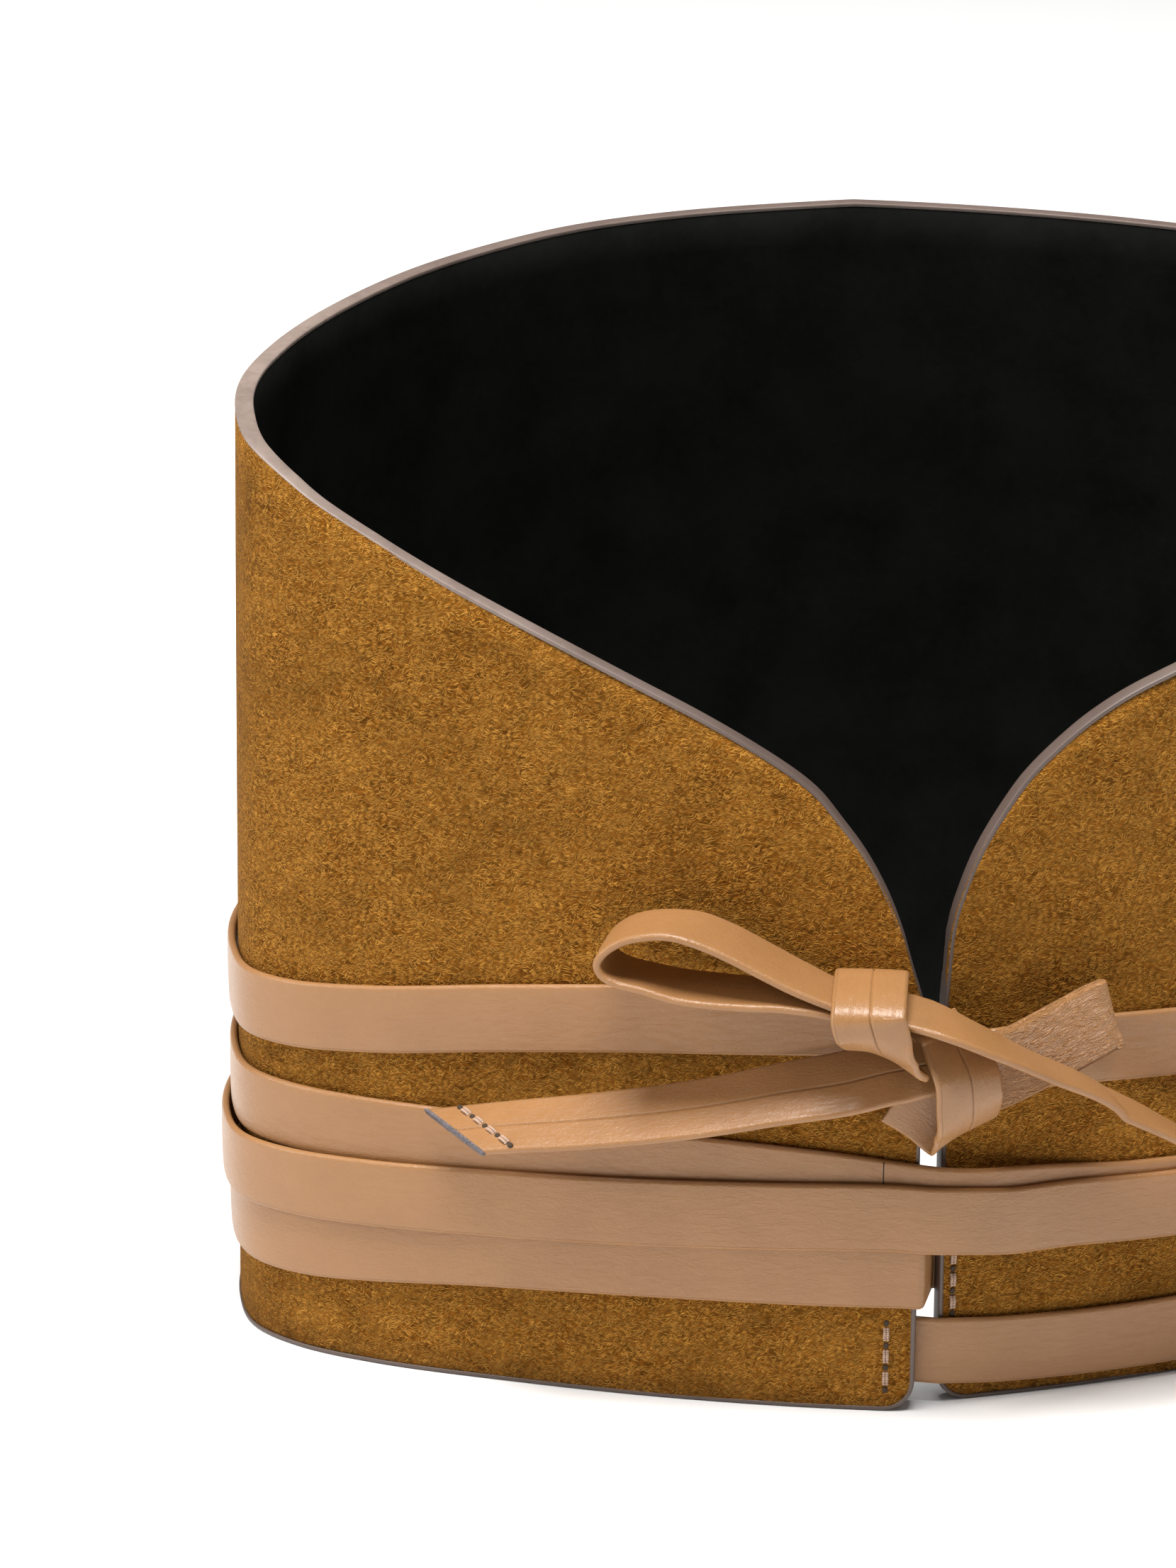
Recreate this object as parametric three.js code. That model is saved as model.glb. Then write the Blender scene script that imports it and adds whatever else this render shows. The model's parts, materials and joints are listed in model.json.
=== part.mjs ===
import * as THREE from 'three';

// A corset belt. One wall of suede with a black lining bends round the waist and stays open at
// the front. Two flat straps are sewn inside the front flaps, pass round the belt twice in
// opposite directions and are tied in a bow. Millimetres, X to the right as seen from the
// front, Y to the back, Z up.

// Driving dimensions of the band
const BAND_WIDTH = 263;
const BAND_DEPTH = 173;
const BACK_HEIGHT = 189.5;
const FRONT_HEIGHT = 80;
const LEAN = 3.5;
const FLAP_GAP = 4.5;
const CORNER_RADIUS = 6;
const SUEDE_THICKNESS = 1.7;
const LINING_THICKNESS = 1.2;

// Driving dimensions of the straps
const STRAP_WIDTH = 13.4;
const STRAP_THICKNESS = 1.5;
const STRAP_ROUNDING = 0.6;
const SEWN_LENGTH = 11;
const KNOT_HEIGHT = 76;
const CLEARANCE = 0.3;

// How finely the curves are stepped
const COLUMN_STEP = 8.5;
const CORNER_STEPS = [0, 0.12, 0.3, 0.55, 1, 1.5, 2.2, 3, 4];
const BRIDGE_STEPS = 5;
const STEPS_PER_ROW = 5;

// Worked out from the sizes above
const WALL = SUEDE_THICKNESS + CLEARANCE + LINING_THICKNESS;
const FIRST_LAYER = CLEARANCE + STRAP_THICKNESS / 2;
const SECOND_LAYER = FIRST_LAYER + STRAP_THICKNESS + CLEARANCE;
const INSIDE_LAYER = -WALL - FIRST_LAYER;

// The band seen from above, from the left flap's edge round the back to the right flap's edge:
// shares of half the width and half the depth. The first and last x follow the gap instead.
const PLAN = [
  { x: 0, y: -0.465 }, { x: -0.198, y: -0.437 }, { x: -0.395, y: -0.387 },
  { x: -0.593, y: -0.315 }, { x: -0.78, y: -0.231 }, { x: -0.898, y: -0.145 },
  { x: -0.964, y: -0.046 }, { x: -0.991, y: 0.104 }, { x: -0.991, y: 0.312 },
  { x: -0.949, y: 0.578 }, { x: -0.868, y: 0.855 }, { x: -0.745, y: 1.121 },
  { x: -0.578, y: 1.33 }, { x: -0.365, y: 1.468 }, { x: -0.122, y: 1.532 },
  { x: 0.122, y: 1.538 }, { x: 0.38, y: 1.486 }, { x: 0.616, y: 1.37 },
  { x: 0.798, y: 1.179 }, { x: 0.92, y: 0.925 }, { x: 0.966, y: 0.647 },
  { x: 0.928, y: 0.37 }, { x: 0.814, y: 0.116 }, { x: 0.639, y: -0.081 },
  { x: 0.426, y: -0.231 }, { x: 0.213, y: -0.341 }, { x: 0, y: -0.416 },
];

// The rim: share of the way round from each flap's edge, and share of the way up from the
// front height to the back height. The two flaps are cut a little differently.
const RIM_FROM_LEFT = [
  { round: 0, up: 0.01 }, { round: 0.003, up: 0.071 }, { round: 0.006, up: 0.136 },
  { round: 0.01, up: 0.2 }, { round: 0.016, up: 0.269 }, { round: 0.022, up: 0.32 },
  { round: 0.029, up: 0.373 }, { round: 0.038, up: 0.415 }, { round: 0.059, up: 0.489 },
  { round: 0.081, up: 0.553 }, { round: 0.122, up: 0.669 }, { round: 0.164, up: 0.794 },
  { round: 0.192, up: 0.873 }, { round: 0.222, up: 0.91 }, { round: 0.27, up: 0.927 },
  { round: 0.306, up: 0.938 }, { round: 0.34, up: 0.95 }, { round: 0.375, up: 0.964 },
  { round: 0.42, up: 0.983 }, { round: 0.5, up: 1 },
];
const RIM_FROM_RIGHT = [
  { round: 0, up: 0 }, { round: 0.0015, up: 0.12 }, { round: 0.0045, up: 0.19 },
  { round: 0.009, up: 0.259 }, { round: 0.016, up: 0.332 }, { round: 0.022, up: 0.382 },
  { round: 0.031, up: 0.434 }, { round: 0.04, up: 0.475 }, { round: 0.051, up: 0.512 },
  { round: 0.07, up: 0.557 }, { round: 0.11, up: 0.652 }, { round: 0.155, up: 0.784 },
  { round: 0.192, up: 0.873 }, { round: 0.222, up: 0.905 }, { round: 0.27, up: 0.925 },
  { round: 0.34, up: 0.947 }, { round: 0.42, up: 0.975 }, { round: 0.5, up: 1 },
];

// Height of each strap's middle, in strap widths, against the turns that it has made round the
// belt, counted from the front opening.
const STRAP_A_HEIGHTS = [
  { turns: 0, height: 0.82 }, { turns: 0.02, height: 0.74 }, { turns: 0.065, height: 0.7 },
  { turns: 0.25, height: 0.85 }, { turns: 0.5, height: 1.55 }, { turns: 0.81, height: 2.62 },
  { turns: 0.85, height: 2.71 }, { turns: 0.9, height: 2.81 }, { turns: 0.95, height: 2.93 },
  { turns: 0.985, height: 2.99 }, { turns: 1, height: 2.95 }, { turns: 1.02, height: 2.8 },
  { turns: 1.044, height: 2.73 }, { turns: 1.07, height: 2.69 },
  { turns: 1.25, height: 3.2 }, { turns: 1.5, height: 4.2 }, { turns: 1.76, height: 5 },
  { turns: 1.81, height: 5.1 }, { turns: 1.84, height: 5.25 }, { turns: 1.88, height: 5.5 },
  { turns: 1.92, height: 5.68 }, { turns: 2, height: 5.85 },
];
const STRAP_B_HEIGHTS = [
  { turns: 0, height: 2.09 }, { turns: 0.06, height: 2.05 }, { turns: 0.12, height: 1.93 },
  { turns: 0.19, height: 1.66 }, { turns: 0.3, height: 1.7 }, { turns: 0.5, height: 2.15 },
  { turns: 0.75, height: 2.65 }, { turns: 0.935, height: 2.86 }, { turns: 0.98, height: 3.12 },
  { turns: 1, height: 3.26 }, { turns: 1.03, height: 3.42 }, { turns: 1.06, height: 3.5 },
  { turns: 1.15, height: 3.57 }, { turns: 1.25, height: 3.55 }, { turns: 1.5, height: 4.05 },
  { turns: 1.75, height: 4.75 }, { turns: 1.935, height: 5.06 }, { turns: 2, height: 5.2 },
];

// Strap A lies over strap B between these turns, and on the band elsewhere.
const LAYER_A = [
  { turns: 0, layer: 0 }, { turns: 0.28, layer: 0 }, { turns: 0.33, layer: 1 },
  { turns: 1.72, layer: 1 }, { turns: 1.79, layer: 0 }, { turns: 2, layer: 0 },
];

// Where both straps leave the right flap to cross the opening, as a share of the way round, and
// where each one goes into the knot, in strap widths from the left flap's edge.
const SEAT_SHARE = 0.04;
const STRAP_A_END = 0.8;
const STRAP_B_END = 0.85;

// The bow. Each row is the middle of a strap: along the front, up from the knot's height and out
// from the band, all in strap widths, then the direction across the strap in the same three
// directions, and how far the strap is cut on the slant there.
const LOOP_LEFT = [
  { along: -0.8, up: 0.6, out: 0.73, across: [0, 0, 1] },
  { along: -1.27, up: 0.755, out: 0.73, across: [0, 0, 1] },
  { along: -1.774, up: 0.98, out: 0.73, across: [0, -0.06, 1] },
  { along: -2.24, up: 1.215, out: 0.73, across: [0, -0.08, 1] },
  { along: -2.71, up: 1.45, out: 0.73, across: [0, -0.08, 1] },
  { along: -3.13, up: 1.605, out: 0.73, across: [0, -0.06, 1] },
  { along: -3.46, up: 1.65, out: 0.73, across: [0, 0, 1] },
  { along: -3.79, up: 1.617, out: 0.73, across: [0, 0, 1] },
  { along: -4.07, up: 1.523, out: 0.73, across: [0, 0, 1] },
  { along: -4.29, up: 1.353, out: 0.73, across: [0, 0, 1] },
  { along: -4.38, up: 1.19, out: 0.73, across: [0, 0, 1] },
  { along: -4.32, up: 1.035, out: 0.73, across: [0, 0, 1] },
  { along: -4.13, up: 0.93, out: 0.73, across: [0, 0, 1] },
  { along: -3.8, up: 0.865, out: 0.73, across: [0, 0, 1] },
  { along: -3.4, up: 0.784, out: 0.73, across: [0, -0.05, 1] },
  { along: -3.01, up: 0.752, out: 0.73, across: [0, -0.07, 1] },
  { along: -2.49, up: 0.735, out: 0.73, across: [0, -0.05, 1] },
  { along: -1.97, up: 0.722, out: 0.73, across: [0, 0, 1] },
  { along: -1.4, up: 0.65, out: 0.71, across: [0, 0, 1] },
  { along: -1.15, up: 0.56, out: 0.68, across: [0, 0, 1] },
  { along: -0.9, up: 0.46, out: 0.655, across: [0, 0, 1] },
];
const TAIL_RIGHT = [
  { along: -0.58, up: 0.63, out: 0.73, across: [0, 0, 1] },
  { along: -0.35, up: 0.61, out: 0.79, across: [0, 0, 1] },
  { along: -0.1, up: 0.57, out: 0.93, across: [0, -0.03, 1] },
  { along: 0.08, up: 0.485, out: 1, across: [0, -0.06, 1] },
  { along: 0.44, up: 0.215, out: 1.06, across: [0, -0.09, 1] },
  { along: 1, up: -0.21, out: 1.09, across: [0, -0.11, 1] },
  { along: 1.35, up: -0.42, out: 1.1, across: [0, -0.1, 1] },
  { along: 2.1, up: -0.83, out: 1.1, across: [0, -0.08, 1] },
  { along: 2.78, up: -1.23, out: 1.08, across: [0, -0.05, 1] },
  { along: 3.6, up: -1.76, out: 1.05, across: [0, 0, 1] },
  { along: 4.7, up: -2.3, out: 1.02, across: [0, 0, 1] },
  { along: 5.6, up: -2.7, out: 1.02, across: [0, 0, 1], slant: 0 },
  { along: 5.95, up: -2.85, out: 1.02, across: [0, 0, 1], slant: -0.5 },
];
const TAIL_LEFT = [
  { along: -0.14, up: -0.27, out: 0.52, across: [0, -0.62, 0.79] },
  { along: -0.31, up: -0.33, out: 0.52, across: [0, -0.62, 0.79] },
  { along: -0.64, up: -0.4, out: 0.55, across: [0, -0.62, 0.79] },
  { along: -1.15, up: -0.535, out: 0.6, across: [0, -0.62, 0.79] },
  { along: -1.99, up: -0.715, out: 0.64, across: [0, -0.56, 0.83] },
  { along: -3.01, up: -0.96, out: 0.7, across: [0, -0.49, 0.87] },
  { along: -4.6, up: -1.29, out: 0.72, across: [0, -0.43, 0.9], slant: 0 },
  { along: -5.7, up: -1.49, out: 0.72, across: [0, -0.37, 0.93], slant: 0 },
  { along: -6.45, up: -1.65, out: 0.72, across: [0, -0.36, 0.93], slant: -0.52 },
];
const LOOP_RIGHT = [
  { along: 0.6, up: -0.485, out: 0.5, across: [0, 1, 0] },
  { along: 0.8, up: -0.43, out: 0.5, across: [0, 1, 0] },
  { along: 1.3, up: -0.28, out: 0.5, across: [0, 1, 0] },
  { along: 1.9, up: -0.1, out: 0.5, across: [0, 1, 0] },
  { along: 2.36, up: 0.05, out: 0.49, across: [-0.12, 1, 0] },
  { along: 2.49, up: 0.1, out: 0.4, across: [-0.2, 1, 0.03] },
  { along: 2.36, up: 0.05, out: 0.315, across: [-0.12, 1, 0] },
  { along: 1.9, up: -0.1, out: 0.31, across: [0, 1, 0] },
  { along: 1.3, up: -0.28, out: 0.31, across: [0, 1, 0] },
  { along: 0.8, up: -0.43, out: 0.31, across: [0, 1, 0] },
  { along: 0.6, up: -0.485, out: 0.31, across: [0, 1, 0] },
];
const KNOT_WRAP = [
  { along: -0.86, up: 0.83, out: 0.12, across: [1, 0, 0] },
  { along: -0.86, up: 0.935, out: 0.31, across: [1, 0, 0] },
  { along: -0.86, up: 0.94, out: 0.72, across: [1, 0, 0] },
  { along: -0.86, up: 0.9, out: 1.14, across: [1, 0, 0] },
  { along: -0.86, up: 0.81, out: 1.39, across: [1, 0, 0] },
  { along: -0.861, up: 0.73, out: 1.46, across: [1, 0, 0] },
  { along: -0.802, up: 0.509, out: 1.43, across: [0.97, -0.15, -0.1] },
  { along: -0.729, up: 0.288, out: 1.28, across: [0.88, -0.4, -0.2] },
  { along: -0.562, up: 0.076, out: 1.05, across: [0.86, -0.48, -0.15] },
  { along: -0.355, up: -0.095, out: 0.84, across: [0.84, -0.52, -0.1] },
];
const KNOT_TUCK = [
  { along: 0.074, up: 0.222, out: 0.7, across: [0.9, -0.25, -0.3] },
  { along: 0.144, up: 0.025, out: 0.87, across: [0.92, -0.2, -0.3] },
  { along: 0.223, up: -0.255, out: 1.02, across: [0.92, -0.05, -0.3] },
  { along: 0.252, up: -0.585, out: 1.02, across: [0.92, 0.05, -0.25] },
  { along: 0.281, up: -0.938, out: 0.85, across: [0.92, 0.3, -0.2] },
  { along: 0.269, up: -1.167, out: 0.6, across: [0.9, 0.42, 0] },
  { along: 0.172, up: -1.2, out: 0.36, across: [0.8, 0.58, 0] },
  { along: -0.055, up: -1.03, out: 0.26, across: [0.65, 0.76, 0] },
  { along: -0.449, up: -0.795, out: 0.24, across: [0.6, 0.8, 0] },
];

const TAN = 0xb98a5a;
const SUEDE_FINISH = { color: 0x8f6428, roughness: 0.95, metalness: 0 };
const LINING_FINISH = { color: 0x151718, roughness: 0.8, metalness: 0 };
const STRAP_FINISH = { color: TAN, roughness: 0.5, metalness: 0 };

// Reads a table as a smooth line: the value of one column against another.
function readTable(table, position, from, to) {
  let i = 0;
  while (i < table.length - 2 && table[i + 1][from] < position) i += 1;
  const a = table[i];
  const b = table[i + 1];
  const before = table[Math.max(i - 1, 0)];
  const after = table[Math.min(i + 2, table.length - 1)];
  const span = b[from] - a[from];
  const t = THREE.MathUtils.clamp((position - a[from]) / span, 0, 1);
  const slope = (b[to] - a[to]) / span;
  const slopeIn = joinedSlope(before, a, slope, from, to);
  const slopeOut = joinedSlope(b, after, slope, from, to);
  const t2 = t * t;
  const t3 = t2 * t;
  return a[to] * (2 * t3 - 3 * t2 + 1) + b[to] * (3 * t2 - 2 * t3)
    + span * (slopeIn * (t3 - 2 * t2 + t) + slopeOut * (t3 - t2));
}

// The slope where two stretches of a table meet, flat at a peak so that the line never overshoots.
function joinedSlope(a, b, slope, from, to) {
  const width = b[from] - a[from];
  if (width <= 0) return slope;
  const other = (b[to] - a[to]) / width;
  return slope * other <= 0 ? 0 : 2 * slope * other / (slope + other);
}

// The band's outer line as seen from above, and the same line bridged across the front opening,
// which the straps follow.
const planCurve = new THREE.CatmullRomCurve3(PLAN.map((row, i) => new THREE.Vector3(
  row.x === 0 ? Math.sign(i - 1) * FLAP_GAP / 2 : row.x * BAND_WIDTH / 2,
  row.y * BAND_DEPTH / 2,
  0,
)), false, 'centripetal');
planCurve.arcLengthDivisions = 1200;
const PERIMETER = planCurve.getLength();
const SEAT = SEAT_SHARE * PERIMETER;

function outward(tangent) {
  return new THREE.Vector3(-tangent.y, tangent.x, 0).normalize();
}

function bandLine(distance) {
  const u = THREE.MathUtils.clamp(distance / PERIMETER, 0, 1);
  return { point: planCurve.getPointAt(u), normal: outward(planCurve.getTangentAt(u)) };
}

const bridgeCurve = bridge();
const BRIDGE_LENGTH = bridgeCurve.getLength();
const LOOP_LENGTH = PERIMETER - SEAT + BRIDGE_LENGTH;

function bridge() {
  const start = planCurve.getPointAt(1 - SEAT_SHARE);
  const end = planCurve.getPointAt(0);
  const reach = start.distanceTo(end) / 3;
  const leave = planCurve.getTangentAt(1 - SEAT_SHARE).multiplyScalar(reach);
  const arrive = planCurve.getTangentAt(0).multiplyScalar(reach);
  return new THREE.CubicBezierCurve3(start, start.clone().add(leave), end.clone().sub(arrive), end);
}

// The straps' line: distance clockwise from the left flap's edge, negative across the opening.
function wrapLine(distance) {
  const d = THREE.MathUtils.euclideanModulo(distance, LOOP_LENGTH);
  if (d <= PERIMETER - SEAT) return bandLine(d);
  const u = THREE.MathUtils.clamp((d - PERIMETER + SEAT) / BRIDGE_LENGTH, 0, 1);
  return { point: bridgeCurve.getPointAt(u), normal: outward(bridgeCurve.getTangentAt(u)) };
}

// A place on the belt: a line's point, moved out from it and up, with the wall's lean.
function place(line, out, height) {
  const lean = LEAN * height / BACK_HEIGHT;
  return line.point.clone().addScaledVector(line.normal, out - lean).setZ(height);
}

// Columns of the band: close together at the flaps' round corners, evenly spread elsewhere.
function columns() {
  const close = CORNER_STEPS.map((share) => share * CORNER_RADIUS);
  const first = close[close.length - 1];
  const count = Math.round((PERIMETER - 2 * first) / COLUMN_STEP);
  const even = Array.from({ length: count - 1 }, (_, i) => (
    first + (PERIMETER - 2 * first) * (i + 1) / count));
  return [...close, ...even, ...close.map((d) => PERIMETER - d).reverse()];
}

function rimHeight(distance) {
  const share = distance / PERIMETER;
  const up = share <= 0.5
    ? readTable(RIM_FROM_LEFT, share, 'round', 'up')
    : readTable(RIM_FROM_RIGHT, 1 - share, 'round', 'up');
  return FRONT_HEIGHT + up * (BACK_HEIGHT - FRONT_HEIGHT);
}

// The bottom edge is straight and turns up at the flaps with a round corner.
function footHeight(distance) {
  const fromEdge = Math.min(distance, PERIMETER - distance);
  const rest = Math.max(CORNER_RADIUS - fromEdge, 0);
  return CORNER_RADIUS - Math.sqrt(CORNER_RADIUS ** 2 - rest ** 2);
}

// Joins a row of rings into one closed solid with flat ends.
function loft(rings) {
  const sides = rings[0].length;
  const positions = rings.flat().flatMap((point) => [point.x, point.y, point.z]);
  const faces = [];
  for (let i = 0; i < rings.length - 1; i += 1) {
    for (let j = 0; j < sides; j += 1) {
      const a = i * sides + j;
      const b = i * sides + (j + 1) % sides;
      faces.push(a, b, b + sides, a, b + sides, a + sides);
    }
  }
  const last = (rings.length - 1) * sides;
  for (let j = 1; j < sides - 1; j += 1) {
    faces.push(0, j + 1, j, last, last + j, last + j + 1);
  }
  const geometry = new THREE.BufferGeometry();
  geometry.setAttribute('position', new THREE.Float32BufferAttribute(positions, 3));
  geometry.setIndex(signedVolume(positions, faces) < 0 ? faces.reverse() : faces);
  geometry.computeVertexNormals();
  return geometry;
}

function signedVolume(positions, faces) {
  const corner = (i) => new THREE.Vector3().fromArray(positions, 3 * faces[i]);
  let volume = 0;
  for (let i = 0; i < faces.length; i += 3) {
    volume += corner(i).dot(corner(i + 1).cross(corner(i + 2))) / 6;
  }
  return volume;
}

// One wall of the band between two offsets from its outer line.
function wall(outer, inner) {
  return loft(columns().map((distance) => {
    const line = bandLine(distance);
    const foot = footHeight(distance);
    const rim = rimHeight(distance);
    return [place(line, outer, foot), place(line, outer, rim),
      place(line, inner, rim), place(line, inner, foot)];
  }));
}

// A strap's section has flat faces and pointed-in edges. Across and through are unit vectors.
function strapRing(middle, across, through) {
  const half = STRAP_WIDTH / 2;
  const flat = half - STRAP_ROUNDING;
  const thick = STRAP_THICKNESS / 2;
  return [[half, 0], [flat, thick], [-flat, thick], [-half, 0], [-flat, -thick], [flat, -thick]]
    .map(([a, t]) => middle.clone().addScaledVector(across, a).addScaledVector(through, t));
}

// Rings of a strap that runs round the belt. Stations hold a line, an offset and a height.
function wrapRings(stations) {
  return stations.map(({ line, out, height }) => strapRing(
    place(line, out, height), new THREE.Vector3(0, 0, 1), line.normal));
}

// The distances at which a strap is stepped: the band's own columns, then the bridge.
function wrapStations() {
  const onBand = columns().filter((distance) => distance < PERIMETER - SEAT);
  const across = Array.from({ length: BRIDGE_STEPS }, (_, i) => (
    PERIMETER - SEAT + BRIDGE_LENGTH * i / BRIDGE_STEPS));
  return [...onBand, ...across];
}

// Two rounds of a strap. With direction 1 it leaves the left flap's edge clockwise, and with
// direction -1 it leaves the right flap's edge the other way.
function twoRounds(direction, heights, layers, end) {
  const early = columns().filter((distance) => distance >= PERIMETER - SEAT);
  const round = wrapStations();
  const walked = direction > 0
    ? [...round.slice(1), ...round.map((d) => d + LOOP_LENGTH)]
    : [...early.map((d) => ({ edge: d })).reverse(),
      ...round.filter((d) => d < PERIMETER - SEAT).reverse(),
      ...round.map((d) => d - LOOP_LENGTH).reverse()];
  const stations = walked.map((step) => {
    const onFlap = step.edge !== undefined;
    const distance = onFlap ? step.edge : step;
    const travelled = direction > 0 ? distance : PERIMETER - distance;
    const line = onFlap ? bandLine(distance) : wrapLine(distance);
    const turns = travelled / LOOP_LENGTH;
    const layer = readTable(layers, turns, 'turns', 'layer');
    return {
      travelled,
      line,
      out: THREE.MathUtils.lerp(FIRST_LAYER, SECOND_LAYER, layer),
      height: readTable(heights, turns, 'turns', 'height') * STRAP_WIDTH,
    };
  });
  const stop = 2 * LOOP_LENGTH - end;
  return stations.filter(({ travelled }) => travelled < stop);
}

// The sewn end inside a flap: distances from that flap's edge, at the inside layer.
function sewnEnd(edge, direction, height) {
  return [1, 0.7, 0.4, 0.02].map((share) => ({
    line: bandLine(edge + direction * share * SEWN_LENGTH), out: INSIDE_LAYER, height,
  }));
}

// Strap A leaves the left flap's inside almost straight over the right flap's edge.
function strapA() {
  const height = STRAP_A_HEIGHTS[0].height * STRAP_WIDTH;
  const rounds = twoRounds(-1, STRAP_A_HEIGHTS, LAYER_A, STRAP_A_END * STRAP_WIDTH);
  return loft(wrapRings([...sewnEnd(0, 1, height), ...rounds]));
}

// Strap B turns back through the opening, from the left flap's face to the right flap's inside.
function strapB() {
  const height = STRAP_B_HEIGHTS[0].height * STRAP_WIDTH;
  const flat = [{ turns: 0, layer: 0 }, { turns: 2, layer: 0 }];
  const rounds = twoRounds(1, STRAP_B_HEIGHTS, flat, STRAP_B_END * STRAP_WIDTH);
  const sewn = wrapRings(sewnEnd(PERIMETER, -1, height));
  return loft([...sewn, ...turnThroughGap(height), ...wrapRings(rounds)]);
}

// Two round corners, one about each flap's edge.
function turnThroughGap(height) {
  const up = new THREE.Vector3(0, 0, 1);
  const left = bandLine(0);
  const right = bandLine(PERIMETER);
  const corners = [
    { line: right, centre: place(right, -WALL, height), angles: [0, 35, 70], side: -1 },
    { line: left, centre: place(left, 0, height), angles: [70, 35, 0], side: 1 },
  ];
  return corners.flatMap(({ line, centre, angles, side }) => angles.map((angle) => {
    const turned = line.normal.clone().multiplyScalar(side)
      .applyAxisAngle(up, THREE.MathUtils.degToRad(angle));
    const middle = centre.clone().addScaledVector(turned, FIRST_LAYER);
    return strapRing(middle, up, turned.multiplyScalar(side));
  }));
}

// A piece of the bow: its rows are joined by a smooth line, with the strap's section across it.
function bowPiece(rows) {
  const middles = new THREE.CatmullRomCurve3(rows.map((row) => (
    new THREE.Vector3(row.along, row.up, row.out).multiplyScalar(STRAP_WIDTH))), false, 'centripetal');
  const acrosses = new THREE.CatmullRomCurve3(rows.map((row) => (
    new THREE.Vector3(...row.across))), false, 'catmullrom');
  const slants = rows.map((row, i) => ({ row: i, slant: (row.slant ?? 0) * STRAP_WIDTH }));
  const count = (rows.length - 1) * STEPS_PER_ROW;
  const rings = [];
  for (let i = 0; i <= count; i += 1) {
    const middle = onFront(middles.getPoint(i / count));
    const ahead = onFront(middles.getPoint(Math.min(i + 0.5, count) / count));
    const behind = onFront(middles.getPoint(Math.max(i - 0.5, 0) / count));
    const tangent = ahead.sub(behind).normalize();
    const across = frontDirection(middles.getPoint(i / count).x, acrosses.getPoint(i / count));
    across.addScaledVector(tangent, -across.dot(tangent)).normalize();
    const through = new THREE.Vector3().crossVectors(tangent, across);
    const slant = readTable(slants, i / STEPS_PER_ROW, 'row', 'slant') * 2 / STRAP_WIDTH;
    rings.push(strapRing(middle, across.addScaledVector(tangent, slant), through));
  }
  return loft(rings);
}

// The bow's own coordinates: along the straps' line from the middle of the opening, up from the
// knot and out from the band.
function frontLine(along) {
  return wrapLine(-along - FLAP_GAP / 2);
}

function onFront(local) {
  return place(frontLine(local.x), local.z, KNOT_HEIGHT + local.y);
}

function frontDirection(along, direction) {
  const { normal } = frontLine(along);
  const side = new THREE.Vector3(-normal.y, normal.x, 0);
  return side.multiplyScalar(direction.x).addScaledVector(normal, direction.z)
    .add(new THREE.Vector3(0, 0, direction.y)).normalize();
}

function piece(name, geometry, finish) {
  const mesh = new THREE.Mesh(geometry, new THREE.MeshStandardMaterial(finish));
  mesh.name = name;
  return mesh;
}

const belt = new THREE.Group();
belt.add(
  piece('suede_band', wall(0, -SUEDE_THICKNESS), SUEDE_FINISH),
  piece('lining', wall(-SUEDE_THICKNESS - CLEARANCE, -WALL), LINING_FINISH),
  piece('strap_a', strapA(), STRAP_FINISH),
  piece('strap_b', strapB(), STRAP_FINISH),
  piece('bow_loop_left', bowPiece(LOOP_LEFT), STRAP_FINISH),
  piece('bow_loop_right', bowPiece(LOOP_RIGHT), STRAP_FINISH),
  piece('bow_tail_left', bowPiece(TAIL_LEFT), STRAP_FINISH),
  piece('bow_tail_right', bowPiece(TAIL_RIGHT), STRAP_FINISH),
  piece('knot_wrap', bowPiece(KNOT_WRAP), STRAP_FINISH),
  piece('knot_tuck', bowPiece(KNOT_TUCK), STRAP_FINISH),
);

// The origin is the middle of the footprint of the whole belt.
const box = new THREE.Box3().setFromObject(belt);
belt.position.set(-(box.min.x + box.max.x) / 2, -(box.min.y + box.max.y) / 2, -box.min.z);
belt.updateMatrixWorld(true);

export default belt;
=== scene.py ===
"""A corset belt of golden brown suede with a black lining, held by two tan straps tied in a bow.

The CAD model is loaded as a fixed frame. Every piece of the belt is made again here as a fine
mesh on the same lines and tables as the solids, and takes a procedural finish.
"""

import json
import math

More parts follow.
